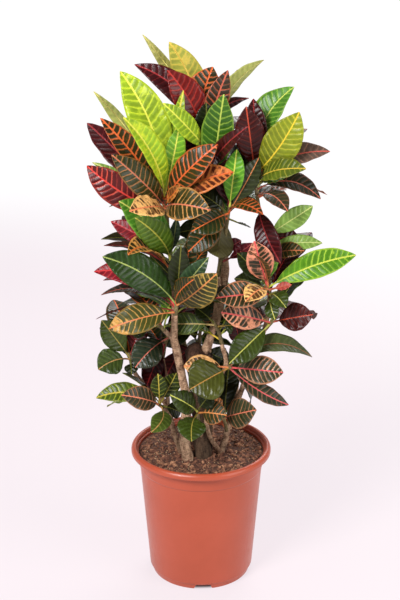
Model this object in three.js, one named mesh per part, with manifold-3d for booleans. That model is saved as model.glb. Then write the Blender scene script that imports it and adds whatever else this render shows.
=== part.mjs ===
// A potted croton: a plastic nursery pot, the potting mix in it, four woody trunks and the leafy shoots they carry.
// Millimetres, +Z up, the floor at Z = 0 and the front at -Y. Sizes are worked out with the pot's axis at X = Y = 0,
// and at the end the whole plant is moved so that its box is centred over the origin.

import * as THREE from "three";
import { mergeVertices } from "three/addons/utils/BufferGeometryUtils.js";
import Module from "manifold-3d";

const wasm = await Module();
wasm.setup();

// Pot
const potHeight = 265;
const rimRadius = 135;
const lipHeight = 12;
const footRadius = 96;
const wallRadius = 99.5; // the wall's line brought down to the floor
const wallSlope = 0.085;
const wallThickness = 2.4;
const footHeight = 12;
const floorThickness = 2.5;
const bandHeight = 224; // where the wall steps out a little under the rim
const mouth = { inset: 11.2, depth: 4 }; // the rim's inner edge, from its outer radius and its top
const notch = { topWidth: 27, bottomWidth: 37, height: 9.5, count: 4, turn: 2.4 };
const drain = { radius: 6, circle: 62, count: 6 };
const potSegments = 32;

// Potting mix
const soilLevel = 252;
const soilMound = 4;
const soilSegments = 24;
const soilGap = 1.2; // round the mix, whose sides have fewer corners than the wall's

// Clearances
const seatGap = 0.3; // between pieces that touch
const smallestEdge = 0.2; // finer edges, left where solids are joined, are dropped
const leafClearance = 0.8; // between a leaf and any other node

// Stems
const trunkSides = 7;
const shootSides = 5;
const rootDepth = 75;
const rootSpread = 0.9; // of a trunk's distance from the axis, at its root's end
const apexLength = 7;

// Leaves
const bladeThickness = 1;
const petiole = { length: 16, width: 3.8, thickness: 3, neckThickness: 2 };
const narrowest = 43; // blades under this width are cut from fewer stations
const stations = { narrow: [0.34, 0.76], wide: [0.25, 0.55, 0.82] }; // shares of a blade's length
const usualFold = 0.18;

// The eye that looks down at the plant's front, and the picture that the tables below are read from: how its sides
// widen, how far its foot lies under the floor, and how much smaller things show for each millimetre of height.
const eye = new THREE.Vector3(0, -2300, 1384);
const picture = { width: 1.0173, height: 1.0605, side: 1.1, foot: -6.1, shrink: 0.000039 };
const skyward = new THREE.Vector3(0, 0, 1);

// The point that shows at (across, up) in the picture, on the pot's centre plane, brought forward towards the eye.
function seen([across, up, forward]) {
  const size = 1 + picture.shrink * up;
  const x = (picture.width * across + picture.side) / size;
  const z = (picture.height * up + picture.foot) / size;
  return new THREE.Vector3(x, 0, z).lerp(eye, forward / -eye.y);
}

// Every branch of a trunk: its points as (across, up, forward, radius) from its root to its tip. Its first points,
// up to number `woody`, belong to the trunk, and the rest is a leafy shoot. Each row of leaves gives where the leaf's
// tip shows (across, up, forward), its width, how far its upper face turns to the front (1) or away from it (-1),
// its roll in degrees, the rise of its arch as a share of its length, how far under the shoot's tip it leaves the
// stem, and for some the depth of its fold and how far it bows to the right of its way, as a share of its length.
// `fill` leaves are added by rule, round the middle azimuth `away`.
const branches = {
  left_high: {
    trunk: "trunk_front",
    rooted: true,
    woody: 9,
    points: [
      [-27, 229, 46, 11],
      [-32, 262, 44, 10],
      [-31, 300, 42, 9.4],
      [-28, 345, 40, 9],
      [-36, 388, 37, 7.6],
      [-45, 436, 34, 7.4],
      [-52, 468, 35, 7.6],
      [-51, 497, 36, 6],
      [-51, 545, 30, 4.8],
      [-54, 590, 18, 4.4],
      [-59, 640, 8, 4.1],
      [-64, 700, 5, 3.7],
      [-69, 755, 8, 3],
    ],
    leaves: [
      [-142, 888, 84, 48, 0.9, 34, 0.06, 16, 0.5, 0.05],
      [-146, 971, -30, 70, 0.9, 0, 0.05, 5, 0.18, 0.08],
      [-164, 820, 70, 52, 0.8, 0, 0.12, 34],
      [-183, 887, 15, 44, 0.9, 20, 0.08, 20],
      [-209, 800, 0, 58, 0.9, -10, 0.1, 43, 0.18, -0.05],
      [29, 839, 45, 56, 0.85, -12, 0.12, 18],
      [16, 717, 100, 62, 0.8, 0, 0.18, 34],
      [58, 788, 50, 62, 0.7, -10, 0.14, 26],
      [-133, 715, 100, 50, 0.75, 0, 0.08, 36],
      [-41, 872, 25, 40, 0.9, 15, 0.05, 10],
      [-39, 764, 50, 26, 0.4, 50, 0.1, 16, 0.4],
      [-207, 878, -25, 62, 0.8, 20, 0.14, 28, 0.18, -0.06],
      [-178, 838, -15, 42, 0.7, 20, 0.1, 34],
      [-194, 935, -45, 30, -0.7, 45, 0.1, 20, 0.18, -0.13],
      [-76, 913, -50, 44, 0.7, 20, 0.06, 10],
      [-33, 937, -25, 26, 0.8, 0, 0.04, 4],
      [-12, 882, -60, 50, 0.8, 0, 0.08, 22],
      [-199, 806, -35, 24, 0.6, 0, 0.12, 48],
      [-170, 723, 10, 34, 0.2, 40, 0.2, 55],
      [-78, 778, 34, 14, 0.6, 20, 0.05, 2],
      [-123, 703, 75, 52, 0.9, -10, 0.06, 132, 0.18, 0.08],
      [-152, 734, 50, 66, 0.85, 10, 0.06, 138, 0.18, 0.08],
      [-137, 632, 105, 42, 0.6, 20, 0.12, 158, 0.4],
      [-167, 696, -15, 36, 0.8, 0, 0.08, 120],
      [-186, 662, -5, 42, 0.2, 60, 0.18, 142],
      [-181, 650, 12, 34, 0.2, 62, 0.14, 150],
      [-46, 703, 30, 20, 0.8, 20, 0.02, 128],
      [-95, 672, 25, 40, 0.6, 10, 0.15, 70],
      [-58, 655, 60, 34, 0.8, 0, 0.1, 84],
    ],
    fill: 6,
    away: 100,
    sweep: 110,
  },
  left_low: {
    trunk: "trunk_front",
    woody: 1,
    points: [
      [-51, 497, 36, 5],
      [-49, 517, 50, 4.4],
      [-47, 542, 55, 3],
    ],
    leaves: [
      [-184, 629, 75, 64, 0.9, 0, 0.05, 6, 0.18, 0.08],
      [28, 597, 95, 64, 0.95, 0, 0.1, 8],
      [-175, 489, 90, 56, 0.8, 0, 0.18, 22],
      [-15, 585, 112, 40, 0.8, -20, 0.1, 4],
      [-200, 600, 10, 50, 0.8, 0, 0.08, 12, 0.18, 0.14],
      [-188, 555, 25, 34, 0.6, 30, 0.1, 16, 0.18, 0.16],
      [-198, 508, 15, 24, 0, 12, 0.1, 20],
      [-18, 672, 50, 34, 0.8, 20, 0.05, 2],
      [13, 628, 35, 36, 0.7, 0, 0.12, 4],
      [-38, 650, 30, 40, 0.8, 0, 0.05, 3],
      [-22, 598, 60, 22, 0.8, 0, 0.1, 2],
    ],
    fill: 3,
    away: 110,
  },
  right_mid: {
    trunk: "trunk_right",
    woody: 1,
    points: [
      [125, 528, 24, 4],
      [128, 553, 40, 3.6],
      [121, 577, 42, 2.8],
    ],
    leaves: [
      [286, 632, 35, 50, 0.85, 0, 0.08, 8, 0.18, -0.04],
      [97, 659, 75, 50, 1, 0, 0.06, 4],
      [85, 638, 84, 28, 0.5, 20, 0.1, 9],
      [66, 636, -20, 44, 0.8, 0, 0.08, 8],
      [26, 549, 95, 50, 0.8, 0, 0.1, 22],
      [82, 542, 100, 40, 0.6, 10, 0.16, 12],
      [168, 575, 60, 16, 0.3, 40, 0.1, 14],
      [122, 652, 62, 38, 0.9, 10, 0.06, 5],
      [138, 507, 74, 26, 0.8, 20, 0.15, 20],
      [158, 530, 44, 36, 0.6, 0, 0.2, 24],
      [52, 590, 45, 46, 0.4, 0, 0.12, 16],
      [150, 560, 56, 26, 0.3, 0, 0.2, 26],
    ],
    fill: 2,
    away: 95,
    sweep: 100,
  },
  right_low: {
    trunk: "trunk_right",
    woody: 1,
    points: [
      [116, 484, 23, 4],
      [127, 497, 40, 3.4],
      [135, 506, 46, 2.8],
    ],
    leaves: [
      [36, 521, 74, 50, 0.85, 0, 0.08, 8],
      [209, 517, 76, 52, 0.85, 0, 0.06, 6],
      [52, 420, 68, 52, 0.9, 0, 0.06, 12],
    ],
    fill: 3,
    away: 100,
    sweep: 80,
  },
  centre_low: {
    trunk: "trunk_right",
    woody: 1,
    points: [
      [46, 418, 34, 3.8],
      [50, 413, 50, 3.4],
      [54, 412, 62, 2.8],
    ],
    leaves: [
      [155, 402, 88, 54, 0.9, 0, 0.06, 5],
      [-23, 368, 100, 80, 0.9, 0, 0.1, 5],
      [209, 433, 30, 46, 0.35, 0, 0.24, 8, 0.18, -0.06],
      [166, 337, 80, 34, 0.4, 15, 0.06, 7, 0.18, 0.08],
      [-34, 415, 52, 40, 0.8, 0, 0.1, 3],
      [91, 341, -25, 34, 0.5, 20, 0.15, 9],
    ],
    fill: 0,
    away: 90,
  },
  centre_mid: {
    trunk: "trunk_centre",
    woody: 1,
    points: [
      [34, 560, -4, 5],
      [30, 592, 16, 4.2],
      [37, 628, 20, 3.8],
      [45, 680, 22, 3.4],
      [51, 723, 24, 2.8],
    ],
    leaves: [
      [-19, 677, 85, 50, 0.9, 0, 0.16, 12],
      [-26, 637, 62, 50, 0.8, 0, 0.14, 20],
      [46, 812, 0, 52, 0.95, 0, 0.05, 8],
      [113, 709, 58, 36, 0.4, 20, 0.2, 14],
      [104, 815, 0, 40, 0.9, 15, 0.06, 10],
      [32, 627, 60, 60, -0.9, 0, 0.15, 10],
      [64, 830, 10, 38, 0.9, 0, 0.06, 6],
      [78, 664, 50, 28, 0.8, 0, 0.06, 96, 0.18, -0.05],
      [94, 655, 30, 22, 0.9, 0, 0.02, 108, 0.18, 0.08],
      [-5, 750, 10, 44, 0.6, 0, 0.1, 14],
      [90, 685, 20, 20, 0, 0, 0.04, 22, 0.1],
    ],
    fill: 2,
    away: 80,
  },
  right_high: {
    trunk: "trunk_right",
    rooted: true,
    woody: 11,
    points: [
      [37, 239, 18, 6.5],
      [46, 268, 10, 6],
      [50, 289, 8, 5.6],
      [60, 318, 6, 5.4],
      [68, 345, 8, 5.2],
      [78, 373, 12, 5],
      [86, 402, 16, 5],
      [98, 434, 20, 4.8],
      [108, 460, 22, 4.6],
      [120, 495, 24, 4.4],
      [127, 542, 18, 4],
      [124, 600, 2, 3.8],
      [114, 680, -8, 3.6],
      [102, 740, -10, 3.3],
      [96, 795, -10, 2.8],
    ],
    leaves: [
      [176, 898, 40, 66, 1, 0, 0.1, 10, 0.18, 0.05],
      [80, 908, 12, 54, 0.95, 0, 0.06, 8],
      [166, 943, -45, 66, 0.85, -30, 0.08, 14, 0.3, -0.12],
      [147, 616, 65, 44, 0.8, 20, 0.2, 72],
      [233, 826, 5, 44, 0.4, 20, 0.16, 22, 0.18, -0.05],
      [190, 794, 55, 46, 0.5, 10, 0.14, 26],
      [157, 781, 68, 42, 0.4, 0, 0.16, 34],
      [218, 738, 10, 42, 0.45, 5, 0.2, 40, 0.18, -0.1],
      [158, 715, 50, 40, 0.35, 5, 0.2, 52, 0.18, -0.05],
      [204, 725, -15, 38, 0.7, 20, 0.1, 130],
      [223, 655, 25, 30, 0.5, 20, 0.14, 150],
      [190, 640, 48, 36, 0.4, 20, 0.12, 168],
      [180, 664, 5, 40, 0.5, 10, 0.16, 140],
      [93, 922, -40, 44, 0.8, 20, 0.08, 6],
      [115, 888, 0, 28, 0.6, 50, 0.05, 4],
      [193, 819, -35, 26, 0.2, 40, 0.1, 18],
    ],
    fill: 6,
    away: 60,
  },
  centre_high: {
    trunk: "trunk_centre",
    rooted: true,
    woody: 9,
    points: [
      [3, 230, 30, 17],
      [2, 300, 20, 18],
      [-1, 380, 10, 22],
      [-5, 440, 2, 27],
      [6, 447, 2, 8],
      [20, 486, 2, 6.6],
      [28, 510, 0, 8.4],
      [36, 560, -4, 10],
      [40, 600, -8, 10.5],
      [40, 648, -14, 9.5],
      [31, 690, -20, 6],
      [25, 740, -26, 3.8],
      [20, 790, -32, 3.4],
      [6, 850, -38, 2.8],
    ],
    leaves: [
      [-62, 973, -25, 58, 0.9, 15, 0.06, 12, 0.18, 0.05],
      [40, 930, 20, 60, 1, 0, 0.04, 80],
      [-120, 983, -65, 48, 0.8, 0, 0.06, 18, 0.18, 0.14],
      [-58, 1023, -70, 58, -0.85, 10, 0.05, 4, 0.18, -0.08],
      [20, 979, -75, 75, 0.9, 10, 0.02, 8, 0.18, -0.1],
      [47, 973, -50, 42, 0.85, 10, 0.04, 12, 0.18, -0.04],
      [111, 991, -75, 44, -0.8, 50, 0.08, 20, 0.18, 0.1],
      [64, 974, -35, 36, -0.5, 70, 0.06, 16],
      [-105, 1036, -80, 26, -0.7, 50, 0.08, 6, 0.18, -0.12],
      [-70, 914, 15, 40, 0.85, 10, 0.05, 24],
      [85, 923, -72, 24, 0.9, 0, 0.04, 14, 0.18, -0.2],
      [84, 872, 20, 32, 0.5, 30, 0.16, 66],
      [8, 915, -50, 42, 0.9, 0, 0.05, 20],
    ],
    fill: 8,
    away: 90,
  },
  centre_inner: {
    trunk: "trunk_right",
    woody: 7,
    points: [
      [37, 239, 18, 5],
      [28, 252, 32, 4.6],
      [20, 264, 40, 4.2],
      [12, 284, 44, 4],
      [9, 310, 44, 4],
      [24, 372, 28, 4],
      [46, 418, 34, 3.9],
      [38, 459, 26, 3.8],
      [33, 480, 26, 3.6],
      [24, 502, 26, 2.8],
    ],
    leaves: [
      [-62, 497, 5, 42, 0.8, 0, 0.1, 6],
      [60, 496, 28, 34, 0.5, 20, 0.12, 10],
      [-10, 530, 22, 36, 0.7, 0, 0.1, 4],
    ],
    fill: 3,
    away: 90,
  },
  left_inner: {
    trunk: "trunk_front",
    woody: 1,
    points: [
      [-51, 466, 35, 5],
      [-70, 486, 36, 4],
      [-82, 497, 37, 3],
    ],
    leaves: [[-132, 482, 30, 40, 0.6, 0, 0.15, 4]],
    fill: 3,
    away: 100,
  },
  left_far: {
    trunk: "trunk_left",
    rooted: true,
    woody: 8,
    points: [
      [-40, 240, 18, 5.4],
      [-50, 270, 14, 5.2],
      [-57, 300, 6, 5],
      [-64, 330, -4, 4.8],
      [-78, 352, -6, 4.6],
      [-99, 371, -6, 4.4],
      [-115, 386, -4, 4.2],
      [-127, 402, 0, 4],
      [-133, 418, 4, 3.6],
      [-136, 436, 6, 2.8],
    ],
    leaves: [
      [-188, 506, 15, 46, 0.9, 0, 0.05, 4],
      [-196, 408, 45, 54, 0.8, 0, 0.12, 8, 0.18, 0.08],
      [-133, 398, 38, 26, 0.7, 0, 0.2, 10],
      [-112, 498, -20, 40, 0.6, 0, 0.1, 3],
    ],
    fill: 3,
    away: 90,
    sweep: 110,
  },
  left_back: {
    trunk: "trunk_left",
    woody: 2,
    points: [
      [-64, 330, -4, 4.4],
      [-67, 388, -14, 4],
      [-74, 430, -18, 3.8],
      [-68, 462, -14, 3.4],
      [-60, 476, -8, 2.8],
    ],
    leaves: [
      [-126, 412, 35, 58, 0.8, 0, 0.12, 6, 0.18, 0.04],
      [-104, 376, 5, 40, 0.7, 0, 0.15, 20],
      [-90, 352, -10, 36, 0.6, 10, 0.12, 28],
    ],
    fill: 3,
    away: 100,
  },
  left_base: {
    trunk: "trunk_left",
    woody: 1,
    points: [
      [-62, 322, -3, 4],
      [-74, 332, 14, 3.6],
      [-82, 338, 30, 2.8],
    ],
    leaves: [
      [-153, 357, 80, 46, 0.8, 0, 0.14, 6],
      [-97, 281, 100, 38, 0.9, 0, 0.08, 9, 0.18, -0.15],
      [-201, 351, 30, 40, 0.7, 0, 0.14, 6, 0.18, 0.1],
      [-83, 400, 40, 32, 0.9, 10, 0.05, 3],
      [-48, 402, 10, 36, 0.8, 20, 0.05, 3],
      [-40, 322, -5, 34, 0.8, 0, 0.08, 4],
    ],
    fill: 2,
    away: 110,
    sweep: 90,
  },
  front_base: {
    trunk: "trunk_centre",
    woody: 1,
    points: [
      [2, 262, 25, 5],
      [-3, 284, 46, 3.8],
      [-6, 304, 52, 3.4],
      [-8, 326, 58, 2.8],
    ],
    leaves: [
      [-19, 262, 128, 54, 0.95, 0, 0.08, 8, 0.18, 0.08],
      [-60, 357, 95, 44, 0.8, 0, 0.14, 4],
      [48, 316, 92, 46, 0.8, 0, 0.12, 6],
      [22, 364, 60, 40, 0.7, 0, 0.1, 3],
    ],
    fill: 0,
    away: 90,
  },
  right_base: {
    trunk: "trunk_right",
    woody: 1,
    points: [
      [46, 268, 10, 4.6],
      [48, 284, 24, 3.6],
      [45, 300, 30, 3.2],
      [38, 313, 44, 2.8],
    ],
    leaves: [
      [105, 327, 92, 58, 0.9, 0, 0.1, 6],
      [24, 350, 56, 26, 0.6, 30, 0.05, 3],
    ],
    fill: 3,
    away: 115,
    sweep: 60,
  },
  back_low: {
    trunk: "trunk_centre",
    woody: 1,
    points: [
      [2, 300, 20, 7],
      [-8, 350, -26, 5],
      [-10, 400, -46, 4.6],
      [-6, 450, -54, 3.8],
      [-2, 490, -58, 2.8],
    ],
    leaves: [
      [-78, 470, -70, 52, 0.7, 0, 0.12, 12],
      [56, 512, -110, 52, 0.6, 0, 0.12, 20],
      [20, 560, -50, 50, 0.8, 0, 0.08, 3],
      [-52, 425, -50, 46, 0.7, 0, 0.15, 34],
      [50, 420, -60, 46, 0.7, 0, 0.15, 42],
    ],
    fill: 5,
    away: 90,
  },
  back_high: {
    trunk: "trunk_centre",
    woody: 3,
    points: [
      [3, 380, 8, 8],
      [12, 440, -34, 5.4],
      [28, 520, -62, 5],
      [38, 600, -84, 4.4],
      [38, 690, -100, 3.8],
      [40, 745, -104, 2.8],
    ],
    leaves: [
      [-46, 674, -60, 44, 0.8, 0, 0.08, 60],
    ],
    fill: 10,
    away: 90,
    sweep: 220,
  },
  back_left: {
    trunk: "trunk_centre",
    woody: 2,
    points: [
      [2, 340, 14, 7],
      [-18, 390, -30, 5.4],
      [-32, 450, -60, 4.8],
      [-40, 520, -84, 3.8],
      [-42, 580, -92, 2.8],
    ],
    leaves: [
      [-96, 632, -70, 40, 0.8, 0, 0.08, 8],
      [-74, 380, -40, 44, 0.8, 0, 0.08, 120],
    ],
    fill: 9,
    away: 110,
    sweep: 220,
  },
  back_right: {
    trunk: "trunk_right",
    woody: 2,
    points: [
      [60, 318, 6, 4.6],
      [66, 370, -30, 4.4],
      [72, 430, -58, 4.2],
      [80, 490, -78, 3.6],
      [84, 540, -86, 2.8],
    ],
    leaves: [
      [62, 505, -40, 36, 0.8, 0, 0.08, 90],
    ],
    fill: 9,
    away: 100,
    sweep: 140,
  },
};

// Places where the wall behind shows between the leaves, as outlines (across, up) on the pot's centre plane.
const gaps = [
  [[57, 710], [60, 716], [71, 715], [80, 708], [92, 690], [80, 697], [71, 702], [60, 705]],
  [
    [52, 695], [63, 688], [80, 687], [89, 676], [95, 664], [88, 658],
    [80, 663], [71, 669], [62, 667], [58, 665], [57, 670], [52, 678],
  ],
  [[52, 615], [54, 617], [65, 625], [64, 619], [62, 612]],
  [[53, 611], [60, 606], [70, 596], [58, 589], [47, 581], [50, 594]],
  [[7, 598], [10, 607], [15, 622], [21, 611], [25, 603], [19, 598]],
  [[58, 903], [69, 910], [80, 914], [83, 912], [74, 905], [67, 896], [58, 893]],
];
const gapReach = 260;

function degrees(angle) {
  return THREE.MathUtils.degToRad(angle);
}

// A closed solid from a geometry whose corners are joined where they meet, without the faces that this flattens.
function solidOf(geometry) {
  const bare = new THREE.BufferGeometry();
  bare.setAttribute("position", geometry.getAttribute("position"));
  if (geometry.index) bare.setIndex(geometry.index);
  const merged = mergeVertices(bare, 1e-4);
  const corners = merged.index.array;
  const faces = [];
  for (let i = 0; i < corners.length; i += 3) {
    const [a, b, c] = corners.slice(i, i + 3);
    if (a !== b && b !== c && c !== a) faces.push(a, b, c);
  }
  return new wasm.Manifold(
    new wasm.Mesh({
      numProp: 3,
      vertProperties: new Float32Array(merged.getAttribute("position").array),
      triVerts: new Uint32Array(faces),
    }),
  );
}

function geometryOf(solid) {
  const mesh = solid.getMesh();
  const geometry = new THREE.BufferGeometry();
  geometry.setAttribute("position", new THREE.BufferAttribute(mesh.vertProperties, 3));
  geometry.setIndex(new THREE.BufferAttribute(mesh.triVerts, 1));
  geometry.computeVertexNormals();
  return geometry;
}

// A closed skin over rings of points with equal counts. `tip` holds two points, for the upper and the lower half of
// the last ring, or is left out for a flat end. `mirrored` says which edges of a ring have their squares split along
// the other diagonal, so that a blade's two faces are split alike.
function skin(rings, tip, mirrored = () => false) {
  const count = rings[0].length;
  const points = rings.flat();
  const faces = [];
  for (let r = 0; r + 1 < rings.length; r++) {
    for (let i = 0; i < count; i++) {
      const next = (i + 1) % count;
      const [a, b] = [r * count + i, r * count + next];
      const [c, d] = [b + count, a + count];
      if (mirrored(i)) faces.push([a, b, d], [b, c, d]);
      else faces.push([a, b, c], [a, c, d]);
    }
  }
  for (let i = 1; i + 1 < count; i++) faces.push([0, i + 1, i]);
  const last = (rings.length - 1) * count;
  if (tip) {
    const upper = points.length;
    const lower = upper + 1;
    points.push(...tip);
    const half = count / 2;
    for (let i = 0; i + 1 < half; i++) {
      faces.push([last + i, last + i + 1, upper]);
      faces.push([last + half + i, last + half + i + 1, lower]);
    }
    faces.push([last + half - 1, last + half, lower], [last + half - 1, lower, upper]);
    faces.push([last + count - 1, last, upper], [last + count - 1, upper, lower]);
  } else {
    for (let i = 1; i + 1 < count; i++) faces.push([last, last + i, last + i + 1]);
  }
  const geometry = new THREE.BufferGeometry().setFromPoints(points);
  geometry.setIndex(faces.flat());
  return geometry;
}

// A branch's points in space, each with its radius and the way the stem runs there.
function routeOf(branch) {
  const places = branch.points.map((point) => ({ at: seen(point), radius: point[3] }));
  if (branch.rooted) {
    const collar = places[0];
    const root = collar.at.clone().multiply(new THREE.Vector3(rootSpread, rootSpread, 1));
    root.z -= rootDepth;
    places.unshift({ at: root, radius: collar.radius });
  }
  places.forEach((place, i) => {
    const before = places[Math.max(i - 1, 0)].at;
    const after = places[Math.min(i + 1, places.length - 1)].at;
    place.way = after.clone().sub(before).normalize();
  });
  return places;
}

// Rings of a stem round the places of a route, grown by `extra` all round.
function stemRings(places, sides, extra = 0) {
  const start = new THREE.Vector3(1, 0, 0);
  return places.map(({ at, radius, way }) => {
    start.addScaledVector(way, -start.dot(way)).normalize();
    const across = way.clone().cross(start);
    return Array.from({ length: sides }, (_, i) => {
      const angle = (2 * Math.PI * i) / sides;
      return at
        .clone()
        .addScaledVector(start, (radius + extra) * Math.cos(angle))
        .addScaledVector(across, (radius + extra) * Math.sin(angle));
    });
  });
}

// The woody part of a branch, which its trunk is joined from.
function woodyPart(branch, extra = 0) {
  const last = branch.woody + (branch.rooted ? 1 : 0);
  const places = routeOf(branch).slice(0, last + 1);
  if (extra) places[0].at.z -= extra;
  return solidOf(skin(stemRings(places, trunkSides, extra)));
}

// The green part of a branch, a hair's breadth off the end of its wood, closing to a bud.
function greenPlaces(branch) {
  const first = branch.woody + (branch.rooted ? 1 : 0);
  const places = routeOf(branch).slice(first);
  places[0].at.addScaledVector(places[0].way, seatGap);
  return places;
}

function greenStem(branch) {
  const places = greenPlaces(branch);
  const top = places[places.length - 1];
  const bud = { at: top.at.clone().addScaledVector(top.way, apexLength), radius: 0.8, way: top.way };
  return solidOf(skin(stemRings([...places, bud], shootSides)));
}

// The point of a shoot's axis that lies `down` under its tip.
function onStem(places, down) {
  let left = down;
  for (let i = places.length - 1; i > 0; i--) {
    const span = places[i].at.distanceTo(places[i - 1].at);
    if (left <= span) return places[i].at.clone().lerp(places[i - 1].at, left / span);
    left -= span;
  }
  return places[0].at.clone().addScaledVector(places[0].way, 2);
}

// The share of its full width that a blade has at a share of its length.
function bladeProfile(share) {
  return Math.sin(Math.PI * share ** 1.12) ** 0.72;
}

// The closed solid of a leaf, or of its outer blade alone, grown by `extra` all round.
function leafSolid({ base, tip, width, facing, roll, arch, fold, bow }, extra = 0, outerOnly = false) {
  const along = tip.clone().sub(base);
  const length = along.length();
  along.normalize();
  const upper = skyward.clone().multiplyScalar(1 - Math.abs(facing));
  upper.addScaledVector(eye.clone().sub(tip).normalize(), facing);
  upper.addScaledVector(along, -upper.dot(along)).normalize();
  upper.applyAxisAngle(along, degrees(roll));
  const side = upper.clone().cross(along);
  const bend = base.clone().lerp(tip, 0.5);
  bend.addScaledVector(upper, 2 * arch * length).addScaledVector(side, -2 * bow * length);
  const midrib = new THREE.QuadraticBezierCurve3(base, bend, tip);
  const axesAt = (share) => {
    const way = bend.clone().sub(base).multiplyScalar(1 - share);
    way.addScaledVector(tip.clone().sub(bend), share);
    const face = way.clone().cross(side).normalize();
    return { middle: midrib.getPoint(share), face, across: face.clone().cross(way).normalize() };
  };
  const ringAt = (share, half, lift, thickness) => {
    const { middle, face, across } = axesAt(share);
    const place = (reach, out) =>
      middle
        .clone()
        .addScaledVector(across, reach * (half + extra))
        .addScaledVector(face, Math.abs(reach) * lift + out * (thickness / 2 + extra));
    return [place(1, 1), place(0, 1), place(-1, 1), place(-1, -1), place(0, -1), place(1, -1)];
  };
  const stalkAt = (share, thickness) => {
    const { middle, face, across } = axesAt(share);
    const right = across.multiplyScalar(petiole.width / 2 + extra);
    const top = face.multiplyScalar(thickness / 2 + extra);
    const [a, b] = [middle.clone().add(right), middle.clone().sub(right)];
    return [a, middle.clone().add(top), b, b, middle.clone().sub(top), a];
  };
  const neck = petiole.length / length;
  const rings = stations[width < narrowest ? "narrow" : "wide"].map((station) => {
    const half = (width / 2) * bladeProfile(station);
    return ringAt(neck + (1 - neck) * station, half, half * fold, bladeThickness);
  });
  if (!outerOnly) {
    rings.unshift(stalkAt(neck, petiole.neckThickness));
    rings.unshift(stalkAt(0, petiole.thickness));
  }
  const end = tip.clone().addScaledVector(along, extra);
  const half = axesAt(1).face.multiplyScalar(0.4 * bladeThickness + extra);
  const ends = [end.clone().add(half), end.clone().sub(half)];
  return solidOf(skin(rings, ends, (edge) => edge > 2));
}

// Evenly scattered shares from 0 to 1.
function scattered(index) {
  return (index * 0.61803399) % 1;
}

// The changes that a leaf tries, in turn, until it lies clear of the other nodes.
const changes = [];
for (const size of [1, 0.88, 0.76]) {
  for (const lift of [0, 0.09, -0.07]) {
    for (const turn of [0, 16, -16]) {
      for (const shift of [0, 12, -12, 24, -24, 38, -38, 54, -54]) changes.push({ size, lift, turn, shift });
    }
  }
}

// A leaf read from a row of the table, under one of the changes.
function shownLeaf(row, places, { size, lift, turn, shift }) {
  const [across, up, forward, width, facing, roll, arch, down, fold = usualFold, bow = 0] = row;
  const base = onStem(places, down);
  const tip = base.clone().lerp(seen([across, up, forward + shift]), size);
  return { base, tip, width: width * size, facing, roll: roll + turn, arch: arch + lift, fold, bow };
}

// A leaf added by rule on the side that the photographed leaves leave free.
function hiddenLeaf({ number, count, away, sweep, order }, places, { size, lift, turn, shift }) {
  const share = count > 1 ? number / (count - 1) : 0.5;
  const base = onStem(places, 20 + 9 * number);
  const azimuth = degrees(away + (scattered(number + 3 * order + 1) - 0.5) * sweep + shift);
  const rise = degrees(46 - 60 * share + turn);
  const length = size * (125 + 45 * scattered(2 * number + order + 1));
  const tip = base.clone().add(
    new THREE.Vector3(
      Math.cos(azimuth) * Math.cos(rise),
      Math.sin(azimuth) * Math.cos(rise),
      Math.sin(rise),
    ).multiplyScalar(length),
  );
  return { base, tip, width: 0.36 * length, facing: 0, roll: 0, arch: 0.13 + lift, fold: usualFold, bow: 0 };
}

function turned(geometry, radius, height, angle) {
  return geometry.translate(radius, 0, height).rotateZ(angle);
}

// The pot's outer radius at a height, and the radius of its inside, which widens to the rim over the band.
function wall(height) {
  return wallRadius + wallSlope * height;
}

function bore(height) {
  const share = Math.max(height - bandHeight, 0) / (potHeight - mouth.depth - bandHeight);
  return THREE.MathUtils.lerp(wall(Math.min(height, bandHeight)) - wallThickness, rimRadius - mouth.inset, share);
}

function makePot() {
  const rimTop = potHeight;
  const lipFoot = potHeight - lipHeight;
  const floorTop = footHeight - 0.5 + floorThickness;
  const outline = [
    [0, footHeight - 0.5],
    [footRadius - 3.4, footHeight - 0.5],
    [footRadius - 3.4, 0],
    [footRadius - 0.6, 0],
    [footRadius + 1.8, footHeight - 0.5],
    [wall(footHeight) + 0.3, footHeight + 0.6],
    [wall(bandHeight) - 0.6, bandHeight - 1],
    [wall(bandHeight) + 0.6, bandHeight + 1],
    [wall(lipFoot) + 0.2, lipFoot + 4],
    [rimRadius - 3, rimTop - 5.6],
    [rimRadius - 2.4, lipFoot],
    [rimRadius, lipFoot],
    [rimRadius, rimTop - 5],
    [rimRadius - 3.6, rimTop - 0.6],
    [rimRadius - 8, rimTop],
    [rimRadius - mouth.inset, rimTop - mouth.depth],
    [bore(bandHeight), bandHeight],
    [bore(floorTop), floorTop],
    [0, floorTop],
  ].map(([radius, height]) => new THREE.Vector2(radius, height));
  let pot = solidOf(new THREE.LatheGeometry(outline, potSegments).rotateX(Math.PI / 2));
  const opening = new THREE.Shape([
    new THREE.Vector2(-notch.bottomWidth / 2, -1),
    new THREE.Vector2(notch.bottomWidth / 2, -1),
    new THREE.Vector2(notch.topWidth / 2, notch.height),
    new THREE.Vector2(-notch.topWidth / 2, notch.height),
  ]);
  for (let i = 0; i < notch.count; i++) {
    const cutter = new THREE.ExtrudeGeometry(opening, { depth: 24, bevelEnabled: false });
    cutter.rotateX(Math.PI / 2).rotateZ(Math.PI / 2);
    const angle = degrees(notch.turn - 90 + (360 / notch.count) * i);
    pot = pot.subtract(solidOf(turned(cutter, footRadius - 14, 0, angle)));
  }
  for (let i = 0; i < drain.count; i++) {
    const cutter = new THREE.CylinderGeometry(drain.radius, drain.radius, 4 * floorThickness, 8);
    cutter.rotateX(Math.PI / 2);
    const angle = (2 * Math.PI * (i + 0.5)) / drain.count;
    pot = pot.subtract(solidOf(turned(cutter, drain.circle, footHeight, angle)));
  }
  return pot;
}

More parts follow.
